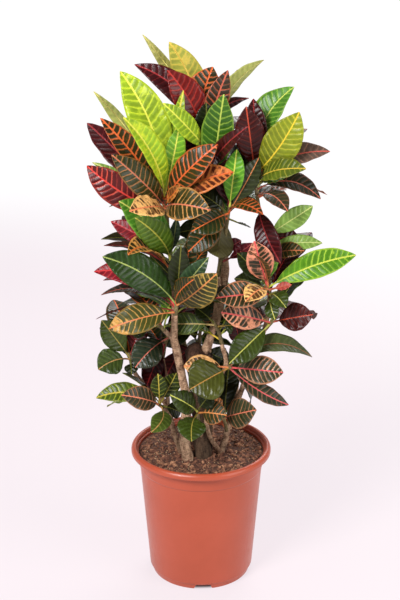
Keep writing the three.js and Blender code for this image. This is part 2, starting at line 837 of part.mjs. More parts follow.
// The potting mix, filling the pot's inside, with a plain hole for each trunk that stands in it.
function makeSoil() {
  const inside = (height) => bore(height) - soilGap;
  const floorTop = footHeight - 0.5 + floorThickness + seatGap;
  const outline = [
    [0, floorTop],
    [inside(floorTop), floorTop],
    [inside(bandHeight), bandHeight],
    [inside(soilLevel - 2), soilLevel - 2],
    [inside(soilLevel) - 12, soilLevel],
    [inside(soilLevel) * 0.55, soilLevel + 0.7 * soilMound],
    [0, soilLevel + soilMound],
  ].map(([radius, height]) => new THREE.Vector2(radius, height));
  let soil = solidOf(new THREE.LatheGeometry(outline, soilSegments).rotateX(Math.PI / 2));
  for (const branch of Object.values(branches)) soil = soil.subtract(woodyPart(branch, seatGap));
  return soil;
}

// What stays clear of the leaves: the boxes come first, because most leaves are far apart.
const obstacles = [];

function addObstacle(node, solid, isLeaf = false) {
  const { min, max } = solid.boundingBox();
  const box = new THREE.Box3(new THREE.Vector3(...min), new THREE.Vector3(...max));
  obstacles.push({ node, solid, box, isLeaf });
}

function meets(solid, chosen) {
  const { min, max } = solid.boundingBox();
  const box = new THREE.Box3(new THREE.Vector3(...min), new THREE.Vector3(...max));
  return obstacles.some(
    (other) => chosen(other) && other.box.intersectsBox(box) && !solid.intersect(other.solid).isEmpty(),
  );
}

function makeGap(outline) {
  const ring = (forward) => outline.map(([across, up]) => seen([across, up, forward]));
  const solid = solidOf(skin([ring(-gapReach), ring(gapReach)]));
  return solid.volume() > 0 ? solid : solidOf(skin([ring(gapReach), ring(-gapReach)]));
}

// Tries a leaf's changes in turn, and keeps the first that lies clear of every other node and crosses no leaf of its
// own shoot, or else the first that only lies clear of the other nodes.
function placeLeaf(node, leafUnder) {
  let fallback = null;
  for (const change of changes) {
    const leaf = leafUnder(change);
    if (meets(leafSolid(leaf, leafClearance), (other) => other.node !== node)) continue;
    const crossing = meets(leafSolid(leaf, 0, true), (other) => other.node === node && other.isLeaf);
    if (!crossing) return leafSolid(leaf);
    fallback ??= leafSolid(leaf);
  }
  if (!fallback) throw new Error(`No clear place for a leaf of ${node}`);
  return fallback;
}

const plastic = new THREE.MeshStandardMaterial({ color: 0xc0604a, roughness: 0.45, metalness: 0 });
const pottingMix = new THREE.MeshStandardMaterial({ color: 0x4a3228, roughness: 1, metalness: 0 });
const bark = new THREE.MeshStandardMaterial({ color: 0x8a7260, roughness: 0.9, metalness: 0 });
const foliage = {
  left: new THREE.MeshStandardMaterial({ color: 0x4f7a26, roughness: 0.35, metalness: 0 }),
  centre: new THREE.MeshStandardMaterial({ color: 0xa8542f, roughness: 0.35, metalness: 0 }),
  right: new THREE.MeshStandardMaterial({ color: 0x6b7a30, roughness: 0.35, metalness: 0 }),
  back: new THREE.MeshStandardMaterial({ color: 0x5a2c2a, roughness: 0.4, metalness: 0 }),
  front: new THREE.MeshStandardMaterial({ color: 0x3c5a24, roughness: 0.35, metalness: 0 }),
};

function makePlant() {
  const solids = { pot: makePot(), soil: makeSoil() };
  for (const branch of Object.values(branches)) {
    const wood = woodyPart(branch);
    solids[branch.trunk] = solids[branch.trunk] ? solids[branch.trunk].add(wood) : wood;
  }
  const materials = { pot: plastic, soil: pottingMix };
  for (const name in solids) {
    materials[name] ??= bark;
    addObstacle(name, solids[name]);
  }
  for (const outline of gaps) addObstacle("gap", makeGap(outline));
  const shoots = {};
  for (const name in branches) {
    shoots[name] = [greenStem(branches[name])];
    addObstacle(name, shoots[name][0]);
    materials[name] = foliage[name.split("_")[0]];
  }
  const keep = (name, leaf) => {
    shoots[name].push(leaf);
    addObstacle(name, leaf, true);
  };
  for (const [name, branch] of Object.entries(branches)) {
    const places = greenPlaces(branch);
    for (const row of branch.leaves) keep(name, placeLeaf(name, (change) => shownLeaf(row, places, change)));
  }
  Object.entries(branches).forEach(([name, { fill, away, sweep = 150 }], order) => {
    const places = greenPlaces(branches[name]);
    for (let number = 0; number < fill; number++) {
      const rule = { number, count: fill, away, sweep, order };
      keep(name, placeLeaf(name, (change) => hiddenLeaf(rule, places, change)));
    }
  });
  for (const name in shoots) solids[name] = wasm.Manifold.union(shoots[name]);

  const plant = new THREE.Group();
  for (const name in solids) {
    const mesh = new THREE.Mesh(geometryOf(solids[name].asOriginal().simplify(smallestEdge)), materials[name]);
    mesh.name = name;
    plant.add(mesh);
  }
  const middle = new THREE.Box3().setFromObject(plant).getCenter(new THREE.Vector3());
  plant.position.set(-middle.x, -middle.y, 0);
  return plant;
}

const plant = new THREE.Group();
plant.add(makePlant());

export default plant;
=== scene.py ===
import math
import random

import bmesh
import bpy
import numpy as np
from mathutils import Matrix, Vector, noise
from mathutils.kdtree import KDTree


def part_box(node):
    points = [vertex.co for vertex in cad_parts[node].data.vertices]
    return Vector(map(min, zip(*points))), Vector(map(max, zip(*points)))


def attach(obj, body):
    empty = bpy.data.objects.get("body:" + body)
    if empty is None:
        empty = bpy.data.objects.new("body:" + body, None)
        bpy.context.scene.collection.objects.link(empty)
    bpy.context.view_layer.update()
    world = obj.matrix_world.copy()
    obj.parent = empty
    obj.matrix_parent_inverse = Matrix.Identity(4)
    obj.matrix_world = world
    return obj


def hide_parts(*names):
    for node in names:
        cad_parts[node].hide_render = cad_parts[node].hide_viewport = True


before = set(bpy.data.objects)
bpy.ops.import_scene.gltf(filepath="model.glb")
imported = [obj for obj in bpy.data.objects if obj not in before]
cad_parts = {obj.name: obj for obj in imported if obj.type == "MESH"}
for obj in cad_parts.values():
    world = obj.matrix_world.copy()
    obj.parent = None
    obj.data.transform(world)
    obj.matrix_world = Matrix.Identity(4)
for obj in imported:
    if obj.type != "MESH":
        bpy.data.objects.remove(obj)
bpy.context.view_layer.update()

mm = 0.001
potLow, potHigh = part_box("pot")
potAxis = Vector(((potLow.x + potHigh.x) / 2, (potLow.y + potHigh.y) / 2, 0))
up = Vector((0, 0, 1))


def newObject(name, data):
    made = bpy.data.objects.new(name, data)
    bpy.context.scene.collection.objects.link(made)
    return made


def meshFrom(bm, name):
    mesh = bpy.data.meshes.new(name)
    bm.to_mesh(mesh)
    bm.free()
    return mesh


# The camera, and the eye that the plant's shapes are read from.
view = {"eye": (0, -2300, 1384), "sideStep": -2, "pitch": 70.3, "lens": 78.7}
eye = Vector(view["eye"]) * mm + potAxis
cameraData = bpy.data.cameras.new("camera")
cameraData.lens = view["lens"]
camera = newObject("camera", cameraData)
camera.location = eye + Vector((view["sideStep"] * mm, 0, 0))
camera.rotation_euler = (math.radians(view["pitch"]), 0, 0)
bpy.context.scene.camera = camera
print("camera set")


# A socket that takes arithmetic: each sign adds its Math node.
class Wire:
    def __init__(self, finish, socket):
        self.finish = finish
        self.socket = socket

    def math(self, operation, *others):
        inputs = dict(enumerate((self, *others)))
        return self.finish.node("ShaderNodeMath", {"operation": operation}, inputs)

    def __add__(self, other):
        return self.math("ADD", other)

    def __sub__(self, other):
        return self.math("SUBTRACT", other)

    def __mul__(self, other):
        return self.math("MULTIPLY", other)

    def __rsub__(self, other):
        return self.finish.node("ShaderNodeMath", {"operation": "SUBTRACT"}, {0: other, 1: self})

    # Another output of the same node, and the value as a grey colour.
    def twin(self, output):
        return Wire(self.finish, self.socket.node.outputs[output])

    def grey(self):
        return self.finish.node("ShaderNodeCombineColor", {}, {0: self, 1: self, 2: self})


# A material under construction round one Principled shader.
class Finish:
    def __init__(self, name):
        self.material = bpy.data.materials.new(name)
        self.material.use_nodes = True
        self.tree = self.material.node_tree
        self.tree.nodes.clear()
        self.shader = self.tree.nodes.new("ShaderNodeBsdfPrincipled")
        output = self.tree.nodes.new("ShaderNodeOutputMaterial")
        self.tree.links.new(self.shader.outputs[0], output.inputs["Surface"])

    def node(self, kind, settings=None, inputs=None, output=0):
        made = self.tree.nodes.new(kind)
        for name, value in (settings or {}).items():
            if name == "stops":
                while len(made.color_ramp.elements) < len(value):
                    made.color_ramp.elements.new(0.5)
                for element, (position, colour) in zip(made.color_ramp.elements, value):
                    element.position = position
                    element.color = (*colour, 1)
            else:
                setattr(made, name, value)
        for name, value in (inputs or {}).items():
            self.feed(made.inputs[name], value)
        return Wire(self, made.outputs[output])

    def feed(self, socket, value):
        if isinstance(value, Wire):
            self.tree.links.new(value.socket, socket)
        else:
            socket.default_value = value

    def set(self, **sockets):
        for name, value in sockets.items():
            self.feed(self.shader.inputs[name.replace("_", " ")], value)
        return self.material

    def attribute(self, name, output="Color"):
        return self.node("ShaderNodeAttribute", {"attribute_name": name}, output=output)

    def place(self):
        return self.node("ShaderNodeTexCoord", output="Object")

    def noise(self, scale, detail=3, roughness=0.5, stretch=None, where=None):
        where = where or self.place()
        if stretch:
            where = self.node("ShaderNodeVectorMath", {"operation": "MULTIPLY"}, {0: where, 1: stretch})
        inputs = {"Vector": where, "Scale": scale, "Detail": detail, "Roughness": roughness}
        return self.node("ShaderNodeTexNoise", {}, inputs)

    def ramp(self, value, *stops):
        return self.node("ShaderNodeValToRGB", {"stops": stops}, {0: value})

    def blend(self, share, first, second, way="MIX"):
        settings = {"data_type": "RGBA", "blend_type": way}
        first, second = (c if isinstance(c, Wire) else (*c, 1) for c in (first, second))
        return self.node("ShaderNodeMix", settings, {0: share, 6: first, 7: second}, output=2)

    def rise(self, value, low, high, start=0, end=1):
        inputs = {"Value": value, "From Min": low, "From Max": high, "To Min": start, "To Max": end}
        return self.node("ShaderNodeMapRange", {"interpolation_type": "SMOOTHSTEP"}, inputs)

    # Soft noise that runs between two values.
    def mottle(self, scale, detail, start, end):
        return self.rise(self.noise(scale, detail), 0.3, 0.7, start, end)

    def shaded(self, colour, share):
        return self.blend(1, colour, share.grey(), "MULTIPLY")

    def height(self):
        return self.node("ShaderNodeSeparateXYZ", {}, {0: self.place()}, output=2)

    def distance(self, point):
        ends = {0: self.place(), 1: point}
        return self.node("ShaderNodeVectorMath", {"operation": "DISTANCE"}, ends, output="Value")

    def bump(self, height, depth, strength=1):
        inputs = {"Height": height, "Distance": depth * mm, "Strength": strength}
        self.feed(self.shader.inputs["Normal"], self.node("ShaderNodeBump", {}, inputs))


def paint(r, g, b):
    return tuple(((c / 255 + 0.055) / 1.055) ** 2.4 if c > 10 else c / 3300 for c in (r, g, b))


shootPlan = {
    "left_high": {
        "wood": "trunk_front", "rooted": True, "woody": 9,
        "fill": 6, "away": 100, "sweep": 110,
        "stem": [
            (-27, 229, 46, 11), (-32, 262, 44, 10), (-31, 300, 42, 9.4), (-28, 345, 40, 9),
            (-36, 388, 37, 7.6), (-45, 436, 34, 7.4), (-52, 468, 35, 7.6), (-51, 497, 36, 6),
            (-51, 545, 30, 4.8), (-54, 590, 18, 4.4), (-59, 640, 8, 4.1), (-64, 700, 5, 3.7),
            (-69, 755, 8, 3),
        ],
        "leaves": [
            ("lime", -142, 888, 84, 48, 0.9, 34, 0.06, 16, 0.5, 0.05),
            ("lime", -146, 971, -30, 70, 0.9, 0, 0.05, 5, 0.18, 0.08),
            ("olive", -164, 820, 70, 52, 0.8, 0, 0.12, 34),
            ("orangeVein", -183, 887, 15, 44, 0.9, 20, 0.08, 20),
            ("crimsonVein", -209, 800, 0, 58, 0.9, -10, 0.1, 43, 0.18, -0.05),
            ("orangeVein", 29, 839, 45, 56, 0.85, -12, 0.12, 18),
            ("tanVein", 16, 717, 100, 62, 0.8, 0, 0.18, 34),
            ("peach", 58, 788, 50, 62, 0.7, -10, 0.14, 26),
            ("peachClear", -133, 715, 100, 50, 0.75, 0, 0.08, 36),
            ("limeMid", -41, 872, 25, 40, 0.9, 15, 0.05, 10),
            ("orange", -39, 764, 50, 26, 0.4, 50, 0.1, 16, 0.4),
            ("maroon", -207, 878, -25, 62, 0.8, 20, 0.14, 28, 0.18, -0.06),
            ("maroon", -178, 838, -15, 42, 0.7, 20, 0.1, 34),
            ("oliveBack", -194, 935, -45, 30, -0.7, 45, 0.1, 20, 0.18, -0.13),
            ("greyOrange", -76, 913, -50, 44, 0.7, 20, 0.06, 10),
            ("lime", -33, 937, -25, 26, 0.8, 0, 0.04, 4),
            ("maroon", -12, 882, -60, 50, 0.8, 0, 0.08, 22),
            ("pale", -199, 806, -35, 24, 0.6, 0, 0.12, 48),
            ("dark", -170, 723, 10, 34, 0.2, 40, 0.2, 55),
            ("lime", -78, 778, 34, 14, 0.6, 20, 0.05, 2),
            ("oliveGreen", -123, 703, 75, 52, 0.9, -10, 0.06, 132, 0.18, 0.08),
            ("brightGreen", -152, 734, 50, 66, 0.85, 10, 0.06, 138, 0.18, 0.08),
            ("yellowBlotch", -137, 632, 105, 42, 0.6, 20, 0.12, 158, 0.4),
            ("red", -167, 696, -15, 36, 0.8, 0, 0.08, 120),
            ("dark", -186, 662, -5, 42, 0.2, 60, 0.18, 142),
            ("maroon", -181, 650, 12, 34, 0.2, 62, 0.14, 150),
            ("blue", -46, 703, 30, 20, 0.8, 20, 0.02, 128),
            ("dark", -95, 672, 25, 40, 0.6, 10, 0.15, 70),
            ("darkOrange", -58, 655, 60, 34, 0.8, 0, 0.1, 84),
        ],
    },
    "left_low": {
        "wood": "trunk_front", "rooted": False, "woody": 1,
        "fill": 3, "away": 110, "sweep": 150,
        "stem": [
            (-51, 497, 36, 5), (-49, 517, 50, 4.4), (-47, 542, 55, 3),
        ],
        "leaves": [
            ("deepPale", -184, 629, 75, 64, 0.9, 0, 0.05, 6, 0.18, 0.08),
            ("veinedTip", 28, 597, 95, 64, 0.95, 0, 0.1, 8),
            ("blotchTip", -175, 489, 90, 56, 0.8, 0, 0.18, 22),
            ("darkOrange", -15, 585, 112, 40, 0.8, -20, 0.1, 4),
            ("red", -200, 600, 10, 50, 0.8, 0, 0.08, 12, 0.18, 0.14),
            ("brownRed", -188, 555, 25, 34, 0.6, 30, 0.1, 16, 0.18, 0.16),
            ("maroon", -198, 508, 15, 24, 0, 12, 0.1, 20),
            ("darkOrange", -18, 672, 50, 34, 0.8, 20, 0.05, 2),
            ("blue", 13, 628, 35, 36, 0.7, 0, 0.12, 4),
            ("dark", -38, 650, 30, 40, 0.8, 0, 0.05, 3),
            ("orange", -22, 598, 60, 22, 0.8, 0, 0.1, 2),
        ],
    },
    "right_mid": {
        "wood": "trunk_right", "rooted": False, "woody": 1,
        "fill": 2, "away": 95, "sweep": 100,
        "stem": [
            (125, 528, 24, 4), (128, 553, 40, 3.6), (121, 577, 42, 2.8),
        ],
        "leaves": [
            ("limeEdge", 286, 632, 35, 50, 0.85, 0, 0.08, 8, 0.18, -0.04),
            ("pinkBlotch", 97, 659, 75, 50, 1, 0, 0.06, 4),
            ("olive", 85, 638, 84, 28, 0.5, 20, 0.1, 9),
            ("dark", 66, 636, -20, 44, 0.8, 0, 0.08, 8),
            ("tanPink", 26, 549, 95, 50, 0.8, 0, 0.1, 22),
            ("peachClear", 82, 542, 100, 40, 0.6, 10, 0.16, 12),
            ("rust", 168, 575, 60, 16, 0.3, 40, 0.1, 14),
            ("greenMid", 122, 652, 62, 38, 0.9, 10, 0.06, 5),
            ("deepMid", 138, 507, 74, 26, 0.8, 20, 0.15, 20),
            ("deepMid", 158, 530, 44, 36, 0.6, 0, 0.2, 24),
            ("dark", 52, 590, 45, 46, 0.4, 0, 0.12, 16),
            ("dark", 150, 560, 56, 26, 0.3, 0, 0.2, 26),
        ],
    },
    "right_low": {
        "wood": "trunk_right", "rooted": False, "woody": 1,
        "fill": 3, "away": 100, "sweep": 80,
        "stem": [
            (116, 484, 23, 4), (127, 497, 40, 3.4), (135, 506, 46, 2.8),
        ],
        "leaves": [
            ("pinkBlotch", 36, 521, 74, 50, 0.85, 0, 0.08, 8),
            ("maroonMid", 209, 517, 76, 52, 0.85, 0, 0.06, 6),
            ("deepMid", 52, 420, 68, 52, 0.9, 0, 0.06, 12),
        ],
    },
    "centre_low": {
        "wood": "trunk_right", "rooted": False, "woody": 1,
        "fill": 0, "away": 90, "sweep": 150,
        "stem": [
            (46, 418, 34, 3.8), (50, 413, 50, 3.4), (54, 412, 62, 2.8),
        ],
        "leaves": [
            ("pinkVein", 155, 402, 88, 54, 0.9, 0, 0.06, 5),
            ("mossOrange", -23, 368, 100, 80, 0.9, 0, 0.1, 5),
            ("greyOlive", 209, 433, 30, 46, 0.35, 0, 0.24, 8, 0.18, -0.06),
            ("dimPink", 166, 337, 80, 34, 0.4, 15, 0.06, 7, 0.18, 0.08),
            ("peachClear", -34, 415, 52, 40, 0.8, 0, 0.1, 3),
            ("dark", 91, 341, -25, 34, 0.5, 20, 0.15, 9),
        ],
    },
    "centre_mid": {
        "wood": "trunk_centre", "rooted": False, "woody": 1,
        "fill": 2, "away": 80, "sweep": 150,
        "stem": [
            (34, 560, -4, 5), (30, 592, 16, 4.2), (37, 628, 20, 3.8), (45, 680, 22, 3.4),
            (51, 723, 24, 2.8),
        ],
        "leaves": [
            ("darkOrange", -19, 677, 85, 50, 0.9, 0, 0.16, 12),
            ("darkOrange", -26, 637, 62, 50, 0.8, 0, 0.14, 20),
            ("maroon", 46, 812, 0, 52, 0.95, 0, 0.05, 8),
            ("orangeVein", 113, 709, 58, 36, 0.4, 20, 0.2, 14),
            ("darkMid", 104, 815, 0, 40, 0.9, 15, 0.06, 10),
            ("mossBack", 32, 627, 60, 60, -0.9, 0, 0.15, 10),
            ("sunGreen", 64, 830, 10, 38, 0.9, 0, 0.06, 6),
            ("maroonRed", 78, 664, 50, 28, 0.8, 0, 0.06, 96, 0.18, -0.05),
            ("maroonRed", 94, 655, 30, 22, 0.9, 0, 0.02, 108, 0.18, 0.08),
            ("dark", -5, 750, 10, 44, 0.6, 0, 0.1, 14),
            ("dark", 90, 685, 20, 20, 0, 0, 0.04, 22, 0.1),
        ],
    },
    "right_high": {
        "wood": "trunk_right", "rooted": True, "woody": 11,
        "fill": 6, "away": 60, "sweep": 150,
        "stem": [
            (37, 239, 18, 6.5), (46, 268, 10, 6), (50, 289, 8, 5.6), (60, 318, 6, 5.4),
            (68, 345, 8, 5.2), (78, 373, 12, 5), (86, 402, 16, 5), (98, 434, 20, 4.8),
            (108, 460, 22, 4.6), (120, 495, 24, 4.4), (127, 542, 18, 4), (124, 600, 2, 3.8),
            (114, 680, -8, 3.6), (102, 740, -10, 3.3), (96, 795, -10, 2.8),
        ],
        "leaves": [
            ("oliveLime", 176, 898, 40, 66, 1, 0, 0.1, 10, 0.18, 0.05),
            ("maroonMid", 80, 908, 12, 54, 0.95, 0, 0.06, 8),
            ("brightGreen", 166, 943, -45, 66, 0.85, -30, 0.08, 14, 0.3, -0.12),
            ("maroon", 147, 616, 65, 44, 0.8, 20, 0.2, 72),
            ("greyPink", 233, 826, 5, 44, 0.4, 20, 0.16, 22, 0.18, -0.05),
            ("oliveDeep", 190, 794, 55, 46, 0.5, 10, 0.14, 26),
            ("greenMargin", 157, 781, 68, 42, 0.4, 0, 0.16, 34),
            ("brownPink", 218, 738, 10, 42, 0.45, 5, 0.2, 40, 0.18, -0.1),
            ("brownPink", 158, 715, 50, 40, 0.35, 5, 0.2, 52, 0.18, -0.05),
            ("paleGreen", 204, 725, -15, 38, 0.7, 20, 0.1, 130),
            ("paleGreen", 223, 655, 25, 30, 0.5, 20, 0.14, 150),
            ("olive", 190, 640, 48, 36, 0.4, 20, 0.12, 168),
            ("maroon", 180, 664, 5, 40, 0.5, 10, 0.16, 140),
            ("maroon", 93, 922, -40, 44, 0.8, 20, 0.08, 6),
            ("maroon", 115, 888, 0, 28, 0.6, 50, 0.05, 4),
            ("pale", 193, 819, -35, 26, 0.2, 40, 0.1, 18),
        ],
    },
    "centre_high": {
        "wood": "trunk_centre", "rooted": True, "woody": 9,
        "fill": 8, "away": 90, "sweep": 150,
        "stem": [
            (3, 230, 30, 17), (2, 300, 20, 18), (-1, 380, 10, 22), (-5, 440, 2, 27), (6, 447, 2, 8),
            (20, 486, 2, 6.6), (28, 510, 0, 8.4), (36, 560, -4, 10), (40, 600, -8, 10.5),
            (40, 648, -14, 9.5), (31, 690, -20, 6), (25, 740, -26, 3.8), (20, 790, -32, 3.4),
            (6, 850, -38, 2.8),
        ],
        "leaves": [
            ("redVein", -62, 973, -25, 58, 0.9, 15, 0.06, 12, 0.18, 0.05),
            ("greenMid", 40, 930, 20, 60, 1, 0, 0.04, 80),
            ("maroon", -120, 983, -65, 48, 0.8, 0, 0.06, 18, 0.18, 0.14),
            ("yellowBack", -58, 1023, -70, 58, -0.85, 10, 0.05, 4, 0.18, -0.08),
            ("orangeVein", 20, 979, -75, 75, 0.9, 10, 0.02, 8, 0.18, -0.1),
            ("greyOrange", 47, 973, -50, 42, 0.85, 10, 0.04, 12, 0.18, -0.04),
            ("oliveBack", 111, 991, -75, 44, -0.8, 50, 0.08, 20, 0.18, 0.1),
            ("salmon", 64, 974, -35, 36, -0.5, 70, 0.06, 16),
            ("oliveBack", -105, 1036, -80, 26, -0.7, 50, 0.08, 6, 0.18, -0.12),
            ("lime", -70, 914, 15, 40, 0.85, 10, 0.05, 24),
            ("maroon", 85, 923, -72, 24, 0.9, 0, 0.04, 14, 0.18, -0.2),
            ("maroon", 84, 872, 20, 32, 0.5, 30, 0.16, 66),
            ("dark", 8, 915, -50, 42, 0.9, 0, 0.05, 20),
        ],
    },
    "centre_inner": {
        "wood": "trunk_right", "rooted": False, "woody": 7,
        "fill": 3, "away": 90, "sweep": 150,
        "stem": [
            (37, 239, 18, 5), (28, 252, 32, 4.6), (20, 264, 40, 4.2), (12, 284, 44, 4),
            (9, 310, 44, 4), (24, 372, 28, 4), (46, 418, 34, 3.9), (38, 459, 26, 3.8),
            (33, 480, 26, 3.6), (24, 502, 26, 2.8),
        ],
        "leaves": [
            ("creamMid", -62, 497, 5, 42, 0.8, 0, 0.1, 6),
            ("oliveOrange", 60, 496, 28, 34, 0.5, 20, 0.12, 10),
            ("dark", -10, 530, 22, 36, 0.7, 0, 0.1, 4),
        ],
    },
    "left_inner": {
        "wood": "trunk_front", "rooted": False, "woody": 1,
        "fill": 3, "away": 100, "sweep": 150,
        "stem": [
            (-51, 466, 35, 5), (-70, 486, 36, 4), (-82, 497, 37, 3),
        ],
        "leaves": [
            ("dark", -132, 482, 30, 40, 0.6, 0, 0.15, 4),
        ],
    },
    "left_far": {
        "wood": "trunk_left", "rooted": True, "woody": 8,
        "fill": 3, "away": 90, "sweep": 110,
        "stem": [
            (-40, 240, 18, 5.4), (-50, 270, 14, 5.2), (-57, 300, 6, 5), (-64, 330, -4, 4.8),
            (-78, 352, -6, 4.6), (-99, 371, -6, 4.4), (-115, 386, -4, 4.2), (-127, 402, 0, 4),
            (-133, 418, 4, 3.6), (-136, 436, 6, 2.8),
        ],
        "leaves": [
            ("deepOlive", -188, 506, 15, 46, 0.9, 0, 0.05, 4),
            ("deepTan", -196, 408, 45, 54, 0.8, 0, 0.12, 8, 0.18, 0.08),
            ("dark", -133, 398, 38, 26, 0.7, 0, 0.2, 10),
            ("maroon", -112, 498, -20, 40, 0.6, 0, 0.1, 3),
        ],
    },
    "left_back": {
        "wood": "trunk_left", "rooted": False, "woody": 2,
        "fill": 3, "away": 100, "sweep": 150,
        "stem": [
            (-64, 330, -4, 4.4), (-67, 388, -14, 4), (-74, 430, -18, 3.8), (-68, 462, -14, 3.4),
            (-60, 476, -8, 2.8),
        ],
        "leaves": [
            ("darkPink", -126, 412, 35, 58, 0.8, 0, 0.12, 6, 0.18, 0.04),
            ("maroon", -104, 376, 5, 40, 0.7, 0, 0.15, 20),
            ("maroon", -90, 352, -10, 36, 0.6, 10, 0.12, 28),
        ],
    },
    "left_base": {
        "wood": "trunk_left", "rooted": False, "woody": 1,
        "fill": 2, "away": 110, "sweep": 90,
        "stem": [
            (-62, 322, -3, 4), (-74, 332, 14, 3.6), (-82, 338, 30, 2.8),
        ],
        "leaves": [
            ("pinkMid", -153, 357, 80, 46, 0.8, 0, 0.14, 6),
            ("greenSalmon", -97, 281, 100, 38, 0.9, 0, 0.08, 9, 0.18, -0.15),
            ("yellowVein", -201, 351, 30, 40, 0.7, 0, 0.14, 6, 0.18, 0.1),
            ("yellowCore", -83, 400, 40, 32, 0.9, 10, 0.05, 3),
            ("yellowCore", -48, 402, 10, 36, 0.8, 20, 0.05, 3),
            ("dark", -40, 322, -5, 34, 0.8, 0, 0.08, 4),
        ],
    },
    "front_base": {
        "wood": "trunk_centre", "rooted": False, "woody": 1,
        "fill": 0, "away": 90, "sweep": 150,
        "stem": [
            (2, 262, 25, 5), (-3, 284, 46, 3.8), (-6, 304, 52, 3.4), (-8, 326, 58, 2.8),
        ],
        "leaves": [
            ("oliveOrange", -19, 262, 128, 54, 0.95, 0, 0.08, 8, 0.18, 0.08),
            ("deepMid", -60, 357, 95, 44, 0.8, 0, 0.14, 4),
            ("darkVein", 48, 316, 92, 46, 0.8, 0, 0.12, 6),
            ("dark", 22, 364, 60, 40, 0.7, 0, 0.1, 3),
        ],
    },
    "right_base": {
        "wood": "trunk_right", "rooted": False, "woody": 1,
        "fill": 3, "away": 115, "sweep": 60,
        "stem": [
            (46, 268, 10, 4.6), (48, 284, 24, 3.6), (45, 300, 30, 3.2), (38, 313, 44, 2.8),
        ],
        "leaves": [
            ("pinkMid", 105, 327, 92, 58, 0.9, 0, 0.1, 6),
            ("orange", 24, 350, 56, 26, 0.6, 30, 0.05, 3),
        ],
    },
    "back_low": {
        "wood": "trunk_centre", "rooted": False, "woody": 1,
        "fill": 5, "away": 90, "sweep": 150,
        "stem": [
            (2, 300, 20, 7), (-8, 350, -26, 5), (-10, 400, -46, 4.6), (-6, 450, -54, 3.8),
            (-2, 490, -58, 2.8),
        ],
        "leaves": [
            ("dark", -78, 470, -70, 52, 0.7, 0, 0.12, 12),
            ("dark", 56, 512, -110, 52, 0.6, 0, 0.12, 20),
            ("darkOrange", 20, 560, -50, 50, 0.8, 0, 0.08, 3),
            ("maroon", -52, 425, -50, 46, 0.7, 0, 0.15, 34),
            ("dark", 50, 420, -60, 46, 0.7, 0, 0.15, 42),
        ],
    },
    "back_high": {
        "wood": "trunk_centre", "rooted": False, "woody": 3,
        "fill": 10, "away": 90, "sweep": 220,
        "stem": [
            (3, 380, 8, 8), (12, 440, -34, 5.4), (28, 520, -62, 5), (38, 600, -84, 4.4),
            (38, 690, -100, 3.8), (40, 745, -104, 2.8),
        ],
        "leaves": [
            ("dark", -46, 674, -60, 44, 0.8, 0, 0.08, 60),
        ],
    },
    "back_left": {
        "wood": "trunk_centre", "rooted": False, "woody": 2,
        "fill": 9, "away": 110, "sweep": 220,
        "stem": [
            (2, 340, 14, 7), (-18, 390, -30, 5.4), (-32, 450, -60, 4.8), (-40, 520, -84, 3.8),
            (-42, 580, -92, 2.8),
        ],
        "leaves": [
            ("dark", -96, 632, -70, 40, 0.8, 0, 0.08, 8),
            ("maroon", -74, 380, -40, 44, 0.8, 0, 0.08, 120),
        ],
    },
    "back_right": {
        "wood": "trunk_right", "rooted": False, "woody": 2,
        "fill": 9, "away": 100, "sweep": 140,
        "stem": [
            (60, 318, 6, 4.6), (66, 370, -30, 4.4), (72, 430, -58, 4.2), (80, 490, -78, 3.6),
            (84, 540, -86, 2.8),
        ],
        "leaves": [
            ("maroon", 62, 505, -40, 36, 0.8, 0, 0.08, 90),
        ],
    },
}

